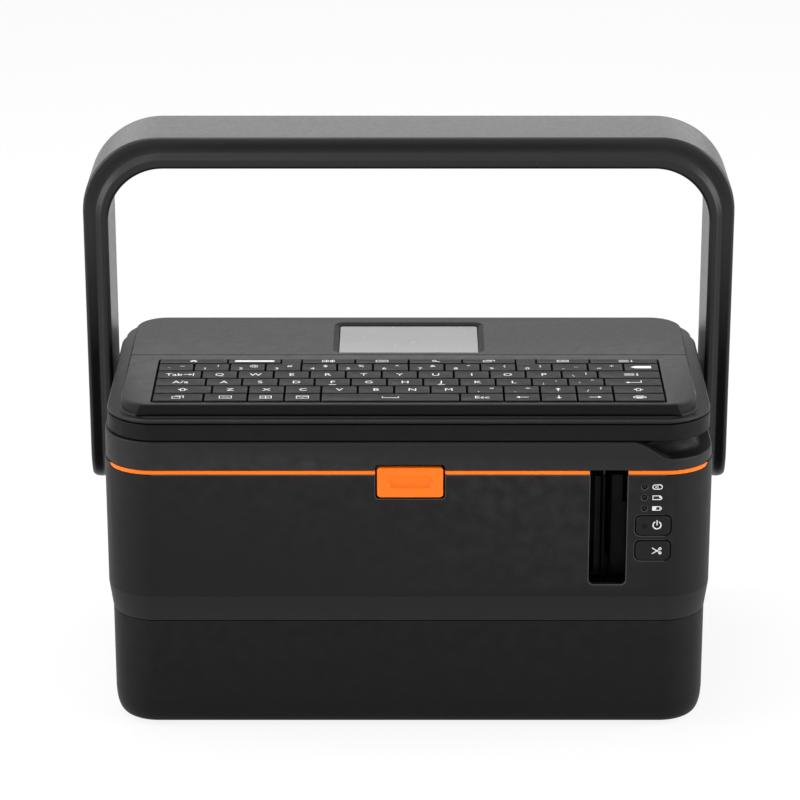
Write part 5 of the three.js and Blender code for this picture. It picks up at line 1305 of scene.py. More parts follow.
            # Front bevels of the openings, all but their top edges, get the light edge plastic: a painted
            # highlight.
            elif y < front + 0.35 and abs(x) < box.size.x / 2 - self.corner and z < top - 1:
                if -0.93 < face.normal.y < -0.25 and face.normal.z > -0.6:
                    face.material_index = 2
        ears = []
        for sign in (-1, 1):
            pin = Extent.of("hinge_pin_right" if sign > 0 else "hinge_pin_left").middle
            ears.append(soften(self.ear(pin), 0.3))
        gather(piece, *ears, *self.ledges())
        self.shop.fit(piece, Slot.CASE, self.look.case, "mid_housing")

    def ledges(self) -> list[Piece]:
        """Posts at the side walls that carry the deck.

        Returns:
            the posts.
        """
        box, deck = Extent.of("mid_housing"), Extent.of("chassis_deck")
        inner, posts = box.size.x / 2 - self.wall, []
        for sign in (-1, 1):
            for y in (-self.post_y, self.post_y):
                ends = sorted((sign * (inner - 12), sign * (inner + 0.5)))
                posts.append(soften(cuboid("post", tuple(ends), (y - 7, y + 7),
                                           (box.low.z + 15, deck.high.z - 2.3)), 0.3))
        return posts

    def ear(self, pin: Vector) -> Piece:
        """Stem with a round barrel that holds a hinge pin.

        Args:
            pin: middle of the hinge pin.

        Returns:
            the ear.
        """
        radius = self.ear_radius
        angles = [math.pi * k / 12 for k in range(13)]
        side = [(pin.y + radius * math.cos(a), pin.z + radius * math.sin(a)) for a in angles]
        side += [(pin.y - radius, pin.z - 20), (pin.y + 3, pin.z - 20)]
        return loft("ear", [[(x, y, z) for y, z in side] for x in (pin.x - 6, pin.x + 6)])

    @staticmethod
    def notch(x: Flat, low: float, high: float, radius: float, y: Flat) -> Piece:
        """Tool for an opening in the front wall with round lower corners.

        Args:
            x: both sides.
            low: lower edge.
            high: upper edge.
            radius: radius of the corners.
            y: front and back of the tool.

        Returns:
            the tool.
        """
        middle = ((x[0] + x[1]) / 2, (low + high) / 2)
        outline = [(px + middle[0], pz + middle[1])
                   for px, pz in rectangle(x[1] - x[0], high - low, radius, 8)]
        return front_prism("cut", outline, y)

    def chute(self) -> None:
        """Builds the glossy chute with its two ribs."""
        box = Extent.of("exit_chute")
        wall = 1.2
        inner = (box.low.x + wall, box.high.x - wall)
        piece = cuboid("exit_throat", box.span(0), box.span(1), box.span(2))
        outline = rectangle(inner[1] - inner[0], 120, 2.2, 8)
        lane = [(px + box.middle.x, pz + box.low.z + wall + 60) for px, pz in outline]
        carve(piece, front_prism("cut", lane, (box.low.y - 5, box.high.y + 5)))
        soften(piece, 0.2)
        ribs = []
        for share in (0.34, 0.57):
            x = inner[0] + (inner[1] - inner[0]) * share
            nose = [(box.low.y + 1, x), (box.low.y + 2.2, x - 0.45), (box.high.y, x - 0.45),
                    (box.high.y, x + 0.45),
                    (box.low.y + 2.2, x + 0.45)]
            ribs.append(soften(loft("rib", [[(px, py, z) for py, px in nose]
                                            for z in (box.low.z, box.high.z)]), 0.12))
        gather(piece, *ribs)
        self.shop.fit(piece, Slot.GLOSS, self.look.throat, "exit_chute")

    def lights(self) -> None:
        """Builds the three status lights on their bar."""
        box = Extent.of("status_lights")
        front, x, z = box.low.y, box.middle.x, box.middle.z
        bar = soften(cuboid("light_pins", (x - 2.5, x + 2.5), (box.high.y - 2, box.high.y),
                            (box.low.z, box.high.z)), 0.2)
        pins = []
        for step in (-1, 0, 1):
            profile = [(NEAR_AXIS, front + 0.25), (0.6, front + 0.3), (1.0, front + 0.5),
                       (1.22, front + 0.9),
                       (1.25, box.high.y - 1), (NEAR_AXIS, box.high.y - 1)]
            pins.append(soften(turned("pin", profile, (x, 0, z + self.light_step * step), "Y", 24), 0.0))
        gather(bar, *pins)
        self.shop.fit(bar, Slot.LIGHT, self.look.light, "status_lights")

    def inlet(self) -> None:
        """Turns the bush of the tube inlet."""
        box = Extent.of("tube_inlet")
        back, flange = box.high.y, box.low.y
        points = [(6.0, flange), (11.0, flange), (11.0, flange + 4), (8.0, flange + 4), (8.0, back - 0.5),
                  (7.85, back - 0.15), (7.5, back), (7.0, back), (6.4, back - 0.4), (6.0, back - 1.2)]
        bush = turned("inlet_bush", points, (box.middle.x, 0, box.middle.z), "Y", 48, True)
        piece = soften(bush, 0.0, merge=False)
        self.shop.fit(piece, Slot.BUTTON, self.look.button, "tube_inlet")

    def signs(self) -> None:
        """Prints the signs of the three lights: marking tube, label sheet and battery."""
        box = Extent.of("status_lights")
        front = Extent.of("mid_housing").low.y
        face = Lettering("light_signs", (0, front, 0), (0, 0, 1))
        x, step, pen = box.middle.x + 6.4, self.light_step, 0.42
        top, mid, low = (box.middle.z + step * k for k in (1, 0, -1))
        self.capsule(face, x, top, 2.35, 1.15, pen)
        face.disc(x - 0.75, top, 0.42)
        face.line([(x + 0.2, top - 0.6), (x + 0.2, top + 0.6)], 0.35)
        sheet = [(x - 2.2, mid - 1.0), (x + 1.6, mid - 1.0), (x + 2.2, mid - 0.4), (x + 2.2, mid + 0.2),
                 (x + 1.4, mid + 1.0), (x - 2.2, mid + 1.0)]
        face.line(sheet, pen, closed=True)
        face.area([(x + 1.0, mid - 0.1), (x + 2.2, mid - 0.1), (x + 1.0, mid + 1.0)])
        face.line([(x - 2.2, low - 0.95), (x + 1.5, low - 0.95), (x + 1.5, low + 0.95),
                   (x - 2.2, low + 0.95)], pen, True)
        face.area([(x - 2.2, low - 0.95), (x - 0.7, low - 0.95), (x - 0.1, low + 0.95),
                   (x - 2.2, low + 0.95)])
        face.line([(x + 2.1, low - 0.4), (x + 2.1, low + 0.4)], 0.5)
        self.shop.fit(face.finished(self.look.ink), Slot.CASE, self.look.ink, body="case")

    @staticmethod
    def capsule(face: Lettering, x: float, z: float, reach: float, radius: float, pen: float) -> None:
        """Draws a lying capsule outline.

        Args:
            face: the print that it is added to.
            x: middle to the right.
            z: middle upwards.
            reach: half its length.
            radius: radius of its ends.
            pen: width of the line.
        """
        right = [(x + reach - radius + radius * math.cos(a), z + radius * math.sin(a))
                 for a in (math.radians(d) for d in range(-90, 91, 20))]
        left = [(x - reach + radius + radius * math.cos(a), z + radius * math.sin(a))
                for a in (math.radians(d) for d in range(90, 271, 20))]
        face.line(right + left, pen, closed=True)


# ---------------- front controls


@dataclass
class FrontControls(Assembly):
    """Release button, power button and cut button with their signs."""

    release_round: float = 1.1
    dish: Flat = (23.6, 6.4)
    button_round: float = 2.8

    def build(self) -> None:
        """Builds the pieces."""
        self.release()
        self.panel_button("power_button", "power_key")
        self.panel_button("cut_button", "cut_key")
        self.power_sign()
        self.cut_sign()

    def release(self) -> None:
        """Moulds the release button: a cap with a broad sunk dish, on its slide."""
        box = Extent.of("release_button")
        x, z = box.middle.x, box.middle.z
        outline = [(px + x, pz + z - 0.3)
                   for px, pz in rectangle(box.size.x - 0.3, box.size.z - 0.7, 1.7, 6)]
        piece = front_prism("release_cap", outline, (box.low.y, box.low.y + 4), self.release_round)
        dish = []
        for inset, depth in ((-0.3, -0.5), (-0.3, -0.04), (0.0, 0.06), (0.3, 0.5), (0.65, 0.95), (1.1, 1.3),
                             (1.9, 1.5)):
            width, height = self.dish[0] - 2 * inset, self.dish[1] - 2 * inset
            dish.append(upright(rectangle(width, height, height / 2, 12), box.low.y + depth, x, z))
        carve(piece, loft("cut", dish))
        soften(piece, 0.15, 2, 34)
        slide = soften(cuboid("slide", (x - 9, x + 9), (box.low.y + 3.6, box.high.y),
                              (box.low.z + 1, box.low.z + 6)), 0.3)
        nose = soften(cuboid("nose", (x - 7, x + 7), (box.high.y - 5.3, box.high.y),
                             (box.low.z + 5, box.low.z + 11)), 0.3)
        gather(piece, slide, nose)
        self.shop.fit(piece, Slot.ORANGE, self.look.orange, "release_button")

    def panel_button(self, node: str, name: str) -> None:
        """Moulds a small button with soft edges, on its stem.

        Args:
            node: CAD node that it replaces.
            name: name of the piece.
        """
        box = Extent.of(node)
        x, z = box.middle.x, box.middle.z
        outline = [(px + x, pz + z)
                   for px, pz in rectangle(box.size.x - 0.5, box.size.z - 0.5, self.button_round, 8)]
        piece = soften(front_prism(name, outline, (box.low.y, box.low.y + 4), 0.6), 0.0)
        stem = soften(cuboid("stem", (x - 3, x + 3), (box.low.y + 3.6, box.high.y), (z - 2, z + 2)), 0.2)
        gather(piece, stem)
        self.shop.fit(piece, Slot.BUTTON, self.look.button, node)

    def power_sign(self) -> None:
        """Prints the power sign, beside a small dark light."""
        box = Extent.of("power_button")
        face = Lettering("power_sign", (0, box.low.y, 0), (0, 0, 1))
        x, z = box.middle.x + 1.9, box.middle.z + 0.5
        face.arc(x, z - 0.1, 2.0, 0.56, -235, 55)
        face.line([(x, z + 0.1), (x, z + 2.3)], 0.56)
        self.shop.fit(face.finished(self.look.ink), Slot.BUTTON, self.look.ink, body="power")
        light = Lettering("power_light", (0, box.low.y, 0), (0, 0, 1))
        light.disc(box.middle.x - 4.3, box.middle.z - 0.2, 1.4)
        self.shop.fit(light.finished(self.look.gloss), Slot.LIGHT, self.look.gloss, body="power")

    def cut_sign(self) -> None:
        """Prints a pair of scissors that lie open to the left."""
        box = Extent.of("cut_button")
        face = Lettering("cut_sign", (0, box.low.y, 0), (0, 0, 1))
        x, z = box.middle.x + 2.1, box.middle.z
        for sign in (-1, 1):
            face.line([(x - 2.2, z + sign * 1.5), (x + 1.2, z - sign * 0.75)], 0.46)
            face.arc(x + 1.65, z + sign * 1.15, 0.55, 0.42)
        self.shop.fit(face.finished(self.look.ink), Slot.BUTTON, self.look.ink, body="cut")


# ---------------- lid


@dataclass
class Lid(Assembly):
    """Lid shell with the smooth finger scoop in its front right corner."""

    corner: float = 25.0
    wall: float = 2.8
    pitch: float = 2.6
    scoop_depth: float = 10.5
    scoop_drop: float = 9.2
    scoop_left: float = 112.0
    scoop_run: float = 20.0
    scoop_rear: float = -31.0

    def outline(self, inset: float) -> list[Flat]:
        """Dense outline of the lid, drawn in by an amount, with the same points at every inset.

        Args:
            inset: how far it is drawn in.

        Returns:
            the points, in order.
        """
        box = Extent.of("top_lid")
        width, depth = box.size.x, Extent.of("mid_housing").size.y
        base = rectangle(width, depth, self.corner, 14)
        drawn = rectangle(width - 2 * inset, depth - 2 * inset, self.corner - inset, 14)
        points: list[Flat] = []
        for k in range(len(base)):
            step = (k + 1) % len(base)
            pieces = max(1, int(math.dist(base[k], base[step]) / self.pitch))
            for part in range(pieces):
                share = part / pieces
                points.append(tuple(a + (b - a) * share for a, b in zip(drawn[k], drawn[step])))
        return points

    def sink(self, outer: Flat) -> float:
        """How much of the scoop's depth is reached at a point of the outer outline, from 0 to 1.

        Args:
            outer: the point.

        Returns:
            the share of the depth.
        """
        def ease(value: float) -> float:
            """Smooth step between 0 and 1."""
            value = min(1.0, max(0.0, value))
            return value * value * (3 - 2 * value)

        return min(ease((outer[0] - self.scoop_left) / self.scoop_run),
                   ease((self.scoop_rear - outer[1]) / self.scoop_run))

    def build(self) -> None:
        """Builds the lid."""
        box = Extent.of("top_lid")
        low, high = box.high.z - 15.0, box.high.z
        base = self.outline(0.0)
        sinks = [self.sink(p) for p in base]
        roof = high - self.wall

        def ring(inset: Callable[[float], float], height: Callable[[float], float]) -> Ring:
            """Ring whose inset and height depend on the scoop."""
            drawn = {round(f, 4): self.outline(inset(f)) for f in set(sinks)}
            return [(*drawn[round(f, 4)][k], height(f)) for k, f in enumerate(sinks)]

        deep, drop, wall = self.scoop_depth, self.scoop_drop, self.wall
        rings = [
            ring(lambda f: wall + deep * f, lambda f: roof),
            ring(lambda f: wall + deep * f, lambda f: roof - (roof - low - 2.4) * min(1.0, f * 4) * 0.99),
            ring(lambda f: wall, lambda f: roof - 0.02 - (roof - low - 2.4) * min(1.0, f * 4) * 0.99),
            ring(lambda f: wall, lambda f: low),
            ring(lambda f: 0.0, lambda f: low),
        ]
        edge = 0.8
        for inset, rise in rounded(edge, 4):
            rings.append(ring(lambda f, i=inset: i, lambda f, r=rise: high - drop * f - r))
        for inset, lift in ((5.5, 0.0), (7.6, 0.05), (8.9, 0.16), (9.8, 0.38), (10.3, 0.7), (deep, 1.0)):
            rings.append(ring(lambda f, i=inset: i, lambda f, g=lift: high - drop * f * (1 - g)))
        piece = loft("lid_shell", rings)
        button = Extent.of("release_button")
        gap_x = (Extent.of("trim_left").high.x, Extent.of("trim_centre").low.x)
        front = box.low.y
        top = button.high.z + 0.75
        outline = [(px + (gap_x[0] + gap_x[1]) / 2, pz + top - 15)
                   for px, pz in rectangle(gap_x[1] - gap_x[0], 30, 1.8, 6)]
        tools = [front_prism("cut", outline, (front - 5, front + 2.9))]
        for side in ("left", "right"):
            pin = Extent.of(f"hinge_pin_{side}").middle
            tools.append(cuboid("cut", (pin.x - 6.3, pin.x + 6.3), (pin.y - 7, pin.y + 12),
                                (low - 5, pin.z + 6)))
        carve(piece, *tools)
        soften(piece, 0.3)
        # Faces of the finger scoop get the darker tray plastic: painted shade under the keyboard's overhang.
        paint(piece, self.look.lid, self.look.tray)
        for face in piece.data.polygons:
            x, y, z = face.center / MM
            inside = x > self.scoop_left - 6 and front + 4.8 < y < self.scoop_rear and x < box.high.x - 4.8
            if inside and high - drop - 0.5 < z < high - 0.25:
                face.material_index = 1
        extra = []
        for side in ("left", "right"):
            pin = Extent.of(f"hinge_pin_{side}").middle
            for sign in (-1, 1):
                extra.append(soften(self.knuckle(pin, pin.x + sign * 10.3, roof), 0.3))
        x = button.middle.x
        extra.append(soften(cuboid("lug", (x - 6, x + 6), (front + 6.8, front + 9.3),
                                   (button.low.z + 8, roof + 0.5)), 0.3))
        gather(piece, *extra)
        # The lid gets the lighter copy of the case plastic: painted light.
        self.shop.fit(piece, Slot.CASE, self.look.lid, "top_lid")

    @staticmethod
    def knuckle(pin: Vector, x: float, roof: float) -> Piece:
        """Knuckle of the hinge, hung from the roof of the lid.

        Args:
            pin: middle of the hinge pin.
            x: middle of the knuckle.
            roof: height of the inner roof.

        Returns:
            the knuckle, without a bore.
        """
        angles = [math.pi + math.pi * k / 12 for k in range(13)]
        side = [(pin.y + 5 * math.cos(a), pin.z + 5 * math.sin(a)) for a in angles]
        side += [(pin.y + 5, roof + 0.5), (pin.y - 5, roof + 0.5)]
        return loft("knuckle", [[(px, y, z) for y, z in side] for px in (x - 4, x + 4)])


# ---------------- keyboard unit


KEY_GAP = 0.7
KEY_UNITS = 14
# Widths of the rear row in key units. A negative one is a fixed spacer.
FUNCTION_WIDTHS = (1.925, 1.5, -0.575, 1.5, 1.5, 1.5, 1.5, -0.575, 1.5, 1.925)


@dataclass
class KeyboardUnit(Assembly):
    """Keyboard case with its raised plate, glossy band, display and inner boards."""

    corner: float = 25.0
    wall: float = 2.8
    shelf_height: float = 2.2
    plate_side: float = 7.6
    plate_end: float = 4.6
    plate_corner: float = 16.0
    plate_edge: float = 0.9
    seam: float = 0.9
    band_half: float = 137.0
    band_recess: float = 0.8
    band_slant: float = 2.6
    spacer_half: float = 4.94
    groove_y: float = -15.2
    bevel: float = 3.0
    field_gap: float = 0.5

    def build(self) -> None:
        """Builds the pieces."""
        look = self.look
        self.lower()
        self.upper()
        self.band()
        self.window()
        self.shop.refined("lcd_module", "display_module", Slot.CELL, look.cell, 0.2)
        self.shop.refined("keyboard_board", "key_board", Slot.BOARD, look.board, 0.15)
        self.shop.refined("key_mat", "dome_mat", Slot.RUBBER, look.dark, 0.15)

    def lower(self) -> None:
        """Moulds the lower half of the case."""
        box = Extent.of("keyboard_lower_case")
        shape = Slab(box.size.x, box.size.y, self.corner, box.middle.x, box.middle.y, 18)
        low, high = box.low.z, box.high.z
        rings = [shape.ring(low, self.seam + 0.2), shape.ring(low + 0.5, self.seam)]
        rings += [shape.ring(low + 0.5 + rise, inset) for inset, rise in reversed(rounded(0.4, 2))]
        rings += [shape.ring(high - 0.4), shape.ring(high - 0.1, 0.12), shape.ring(high, 0.4)]
        rings += [shape.ring(high, self.wall), shape.ring(low + self.wall, self.wall)]
        piece = soften(loft("unit_tub", rings), 0.3)
        # The lower half gets the darker copy of the case plastic: painted shade.
        self.shop.fit(piece, Slot.CASE, self.look.tray, "keyboard_lower_case")

    def upper(self) -> None:
        """Moulds the upper half: shelf, raised plate, key opening and display recess."""
        box = Extent.of("keyboard_upper_case")
        low, high, shelf = box.low.z, box.high.z, box.low.z + self.shelf_height
        y = box.middle.y
        rim = Slab(box.size.x, box.size.y, self.corner, 0, y, 16)
        width, depth = box.size.x - 2 * self.plate_side, box.size.y - 2 * self.plate_end
        plate = Slab(width, depth, self.plate_corner, 0, y, 16)
        hollow = Slab(width - 2 * self.wall - 2, depth - 2 * self.wall - 1, self.plate_corner - self.wall,
                      0, y, 16)
        rings = [hollow.ring(high - 2.2), hollow.ring(low), rim.ring(low, self.seam),
                 rim.ring(low + 0.4, self.seam)]
        rings += [rim.ring(low + 0.45, 0.25), rim.ring(low + 0.6, 0.05), rim.ring(low + 0.8)]
        rings += [rim.ring(shelf - rise, inset) for inset, rise in rounded(0.9, 4)]
        rings += [plate.ring(shelf, -1.0), plate.ring(shelf + 0.15, -0.35), plate.ring(shelf + 0.6, 0.0)]
        rings += [plate.ring(high - rise, inset) for inset, rise in rounded(self.plate_edge, 5)]
        piece = loft("unit_cover", rings)
        field = [Extent.of("key_row_modifiers"), Extent.of("key_row_function"), Extent.of("key_execute")]
        gap = self.field_gap + 0.35
        field_x = (field[0].low.x - gap, field[2].high.x + gap)
        field_y = (field[0].low.y - gap, field[1].high.y + gap)
        mouth = Slab(field_x[1] - field_x[0], field_y[1] - field_y[0], 1.6, sum(field_x) / 2,
                     sum(field_y) / 2, 6)
        front = box.low.y + self.plate_end
        glass = Extent.of("lcd_window")
        tools = [
            mouth.solid("cut", low - 3, high + 4),
            cuboid("cut", (-self.band_half, self.band_half), (front - 6, front + self.band_recess),
                   (shelf + 0.5, high - 0.65)),
            cuboid("cut", (-FAR, FAR), (self.groove_y - 0.22, self.groove_y + 0.22),
                   (high - 0.35, high + 3)),
        ]
        seat = Slab(glass.size.x + 0.6, glass.size.y + 0.6, 1.8, glass.middle.x, glass.middle.y, 6)
        cup = loft("cut", [seat.ring(glass.low.z - 0.3), seat.ring(glass.high.z),
                           seat.ring(high, -self.bevel), seat.ring(high + 2, -self.bevel)])
        hole = Slab(glass.size.x - 5, glass.size.y - 5, 1.0, glass.middle.x, glass.middle.y, 4)
        tools += [cup, hole.solid("cut", glass.low.z - 6, glass.low.z + 2)]
        carve(piece, *tools)
        soften(piece, 0.28)
        paint(piece, self.look.plate, self.look.painted_recess_shade)
        # Side faces round the display pane get the darker recess plastic: painted shade in the recess.
        reach = self.bevel + 0.15
        for face in piece.data.polygons:
            middle, side = face.center / MM - glass.middle, abs(face.normal.z) < 0.97
            if side and abs(middle.x) < glass.size.x / 2 + reach and abs(middle.y) < glass.size.y / 2 + reach:
                face.material_index = 1
        spacers = []
        function = Extent.of("key_row_function")
        for middle in self.spacer_places():
            block = cuboid("spacer", (middle - self.spacer_half, middle + self.spacer_half),
                           (function.low.y, function.high.y + 1.6), (high - 2.2, high))
            soften(block, 0.35)
            for face in block.data.polygons:
                face.material_index = 2
            spacers.append(block)
        paint(piece, self.look.key)
        gather(piece, *spacers)
        # The cover gets the lighter plate plastic: painted light from above.
        self.shop.fit(piece, Slot.CASE, self.look.plate, "keyboard_upper_case")

    @staticmethod
    def spacer_places() -> list[float]:
        """Middles of the two fixed spacers in the rear row.

        Returns:
            their places along X.
        """
        function = Extent.of("key_row_function")
        unit = (function.size.x + KEY_GAP) / KEY_UNITS
        places, x = [], function.low.x - KEY_GAP / 2
        for width in FUNCTION_WIDTHS:
            if width < 0:
                places.append(x - width * unit / 2)
            x += abs(width) * unit
        return places

    def band(self) -> None:
        """Fits the glossy band into the front wall of the plate, with slanted ends."""
        box = Extent.of("keyboard_upper_case")
        front = box.low.y + self.plate_end + self.band_recess
        low, high = box.low.z + self.shelf_height + 0.55, box.high.z - 0.7
        half = self.band_half - 0.15
        outline = [(-half, low), (half, low), (half - self.band_slant, high),
                   (-half + self.band_slant, high)]
        piece = front_prism("gloss_band", outline, (front - 0.45, front + 0.4))
        soften(piece, 0.25, 3)
        self.shop.fit(piece, Slot.GLOSS, self.look.gloss, body="lid")

    def window(self) -> None:
        """Fits the display pane with a painted highlight on its rim."""
        box = Extent.of("lcd_window")
        shape = Slab(box.size.x, box.size.y, 1.5, box.middle.x, box.middle.y, 8)
        piece = shape.solid("display_pane", box.low.z, box.high.z, 0.0, 0.3)
        soften(piece, 0.0)
        paint(piece, self.look.pane, self.look.rim)
        # Faces other than the flat top get the pale rim finish: a painted highlight.
        for face in piece.data.polygons:
            if face.normal.z < 0.98:
                face.material_index = 1
        self.shop.fit(piece, Slot.GLASS, self.look.pane, "lcd_window")


# ---------------- keys


class Sign(Enum):
    """Drawn signs of the keyboard."""

    LEFT = "left"
    RIGHT = "right"
    UP = "up"
    DOWN = "down"
    SHIFT = "shift"
    ENTER = "enter"
    TAB = "tab"
    HOUSE = "house"
    BAR = "bar"
    ERASE = "erase"
    LINES = "lines"
    FRAME = "frame"
    SHEETS = "sheets"
    BARCODE = "barcode"
    LOUPE = "loupe"
    PRINT = "print"
    SPACE = "space"
    TABLE = "table"
    LETTER = "letter"


@dataclass(frozen=True)
class Legend:
    """What one key shows: a main text or sign, and an upper right one."""

    main: object = ""
    shifted: str = ""


def letters(row: str) -> list[Legend]:
    """Plain letter keys."""
    return [Legend(letter) for letter in row]


@dataclass
class Keys(Assembly):
    """Every key of the keyboard with its legend."""

    corner: float = 0.9
    edge: float = 0.55
    letter_height: float = 3.5
    web: float = 1.4
    web_inset: float = 0.3
    rows: dict[str, Tuple[Sequence[float], Sequence[Legend]]] = field(default_factory=dict)

    def __post_init__(self) -> None:
        """Lists widths, in key units, and legends of every body."""
        one = [1.0] * 11
        pairs = "`~ 1! 2@ 3# 4$ 5% 6^ 7& 8* 9( 0) -_ =+".split()
        self.rows = {
            "key_row_modifiers": ((1.4, 1.2, 1.0, 1.0),
                                  (Legend(Sign.SHEETS), Legend(Sign.FRAME), Legend(Sign.TABLE),
                                                         Legend(Sign.LETTER))),
            "key_space": ((3.8,), (Legend(Sign.SPACE),)),
            "key_cancel": ((1.2,), (Legend("Esc"),)),
            "key_row_arrows": ((1.0, 1.0, 1.0), (Legend(Sign.LEFT), Legend(Sign.DOWN), Legend(Sign.RIGHT))),
            "key_execute": ((1.4,), (Legend(Sign.PRINT),)),
            "key_shift_left": ((1.6,), (Legend(Sign.SHIFT),)),
            "key_row_zxcv": (one, letters("ZXCVBNM") + [Legend(",", "<"), Legend(".", ">"), Legend(Sign.UP),
                                                       Legend("/", "?")]),
            "key_shift_right": ((1.4,), (Legend(Sign.SHIFT),)),
            "key_row_asdf": ([1.4] + one,
                             [Legend("A/a")] + letters("ASDFGHJKL") + [Legend(";", ":"), Legend("'", '"')]),
            "key_enter": ((1.6,), (Legend(Sign.ENTER),)),
            "key_row_qwerty": ([1.25] + one,
                               [Legend(Sign.TAB)] + letters("QWERTYUIOP") + [Legend("\\", "|")]),
            "key_line": ((1.75,), (Legend(Sign.LINES),)),
            "key_row_digits": (one + [1.0, 1.0], [Legend(p[0], p[1]) for p in pairs]),
            "key_backspace": ((1.0,), (Legend(Sign.ERASE),)),
            "key_row_function": (FUNCTION_WIDTHS,
                                 (Legend(Sign.HOUSE), Legend(Sign.BAR), Legend(), Legend(Sign.BARCODE),
                                  Legend(Sign.FRAME), Legend(Sign.LOUPE), Legend(Sign.SHEETS), Legend(),
                                  Legend(Sign.TABLE), Legend(Sign.LINES))),
        }

    def build(self) -> None:
        """Builds every key and its legend."""
        whole = Extent.of("key_row_function")
        unit = (whole.size.x + KEY_GAP) / KEY_UNITS
        for node, (widths, legends) in self.rows.items():
            box = Extent.of(node)
            left, caps = box.low.x - KEY_GAP / 2, []
            face = Lettering(f"print_{node[4:]}", (0, box.middle.y, box.high.z - 0.02), (0, 1, 0), 0.03)
            for width, legend in zip(widths, legends):
                size = abs(width) * unit
                if width > 0:
                    caps.append(self.cap(left + size / 2, box, size - KEY_GAP))
                    self.draw(face, legend, left + size / 2, box.size.y)
                left += size
            piece = caps[0]
            piece.name = f"caps_{node[4:]}" if len(caps) > 1 else f"cap_{node[4:]}"
            if len(caps) > 1:
                web = soften(cuboid("web", box.span(0, -self.web_inset), box.span(1, -self.web_inset),
                                    (box.low.z, box.low.z + self.web)), 0.0)
                gather(piece, *caps[1:], web)
            self.shop.fit(piece, Slot.KEY, self.look.key, node)
            self.shop.fit(face.finished(self.look.ink), Slot.KEY, self.look.ink,
                          body=self.shop.body_of[node])

    def cap(self, x: float, box: Extent, width: float) -> Piece:
        """Moulds one key cap with a soft edge and a slightly sunk top.

        Args:
            x: its middle.
            box: extent of its row.
            width: its width.

        Returns:
            the cap.
        """
        depth = box.size.y
        shape = Slab(width, depth, self.corner, x, box.middle.y, 3)
        top = box.high.z
        rings = [shape.ring(box.low.z), shape.ring(top - 2.5)]
        rings += [shape.ring(top - rise, 0.12 + inset) for inset, rise in rounded(self.edge, 3)]
        rings += [shape.ring(top - 0.06, 1.4), shape.ring(top - 0.1, min(width, depth) * 0.35)]
        return soften(loft("cap", rings), 0.0, merge=False)

    def draw(self, face: Lettering, legend: Legend, x: float, depth: float) -> None:
        """Prints the legend of one key.

        Args:
            face: the print that it is added to.
            legend: what it shows.
            x: middle of the key.
            depth: depth of the key.
        """
        tall = self.letter_height if depth > 8 else self.letter_height * 0.72
        if isinstance(legend.main, Sign):
            self.sign(face, legend.main, x, tall)
        elif legend.shifted:
            face.text(legend.main, x - 3.4, -1.9, tall * 0.8, 1.15)
            face.text(legend.shifted, x + 3.2, 1.8, tall * 0.8, 1.15)
        elif legend.main:
            face.text(legend.main, x, 0.0, tall, 1.2)
        if legend.main in ("F", "J"):
            face.line([(x - 1.6, -3.9), (x + 1.6, -3.9)], 0.5)

    @staticmethod
    def sign(face: Lettering, sign: Sign, x: float, tall: float) -> None:
        """Draws one sign.

        Args:
            face: the print that it is added to.
            sign: which sign.
            x: its middle.
            tall: height of a capital letter.
        """
        h, pen = tall / 2, 0.5
        arrows = {Sign.LEFT: (-1, 0), Sign.RIGHT: (1, 0), Sign.UP: (0, 1), Sign.DOWN: (0, -1)}
        if sign in arrows:
            dx, dy = arrows[sign]
            reach = 3.0 if dx else h + 0.3
            tip = (x + dx * reach, dy * reach)
            wing = 1.7
            face.line([(x - dx * reach, -dy * reach), (tip[0] - dx * 1.2, tip[1] - dy * 1.2)], pen)
            face.area([tip, (tip[0] - dx * wing - dy * wing * 0.8, tip[1] - dy * wing + dx * wing * 0.8),
                       (tip[0] - dx * wing + dy * wing * 0.8, tip[1] - dy * wing - dx * wing * 0.8)])
        elif sign is Sign.SHIFT:
            face.line([(x, h), (x + 2.1, 0), (x + 1.0, 0), (x + 1.0, -h), (x - 1.0, -h), (x - 1.0, 0),
                       (x - 2.1, 0)],
                      pen, closed=True)
        elif sign is Sign.ENTER:
            face.line([(x + 4, h), (x + 4, -h * 0.4), (x - 2.5, -h * 0.4)], pen)
            face.area([(x - 4, -h * 0.4), (x - 2.2, -h * 0.4 - 1.1), (x - 2.2, -h * 0.4 + 1.1)])
        elif sign is Sign.TAB:
            face.text("Tab", x - 2.6, 0, tall, 1.15)
            face.line([(x + 2.6, 0), (x + 5.2, 0)], pen)
            face.area([(x + 6.8, 0), (x + 5.1, 1.0), (x + 5.1, -1.0)])
            face.line([(x + 7.3, h), (x + 7.3, -h)], pen)
        elif sign is Sign.HOUSE:
            face.area([(x - 2.2, -0.1), (x + 2.2, -0.1), (x, h + 0.3)])
            face.area([(x - 1.5, -h), (x - 0.4, -h), (x - 0.4, 0), (x - 1.5, 0)])
            face.area([(x + 0.4, -h), (x + 1.5, -h), (x + 1.5, 0), (x + 0.4, 0)])
        elif sign is Sign.BAR:
            bar = [(px + x, py) for px, py in rectangle(20.5, tall * 0.95, 0.8, 4)]
            face.area(bar)
        elif sign is Sign.ERASE:
            face.area([(x - 5.6, 0), (x - 3.4, -h), (x + 5.0, -h), (x + 5.0, h), (x - 3.4, h)])
        elif sign is Sign.LINES:
            for k in (-1, 0, 1):
                face.line([(x - 2.4, k * 1.2), (x + 2.4, k * 1.2)], 0.42)
            face.line([(x + 4.0, h), (x + 4.0, -h * 0.6)], 0.42)
            face.area([(x + 4.0, -h), (x + 3.2, -h * 0.3), (x + 4.8, -h * 0.3)])
        elif sign is Sign.FRAME:
            face.line([(x - 3, -h), (x + 3, -h), (x + 3, h), (x - 3, h)], 0.42, closed=True)
            face.line([(x - 1.6, 0), (x + 1.6, 0)], 0.42)
        elif sign is Sign.SHEETS:
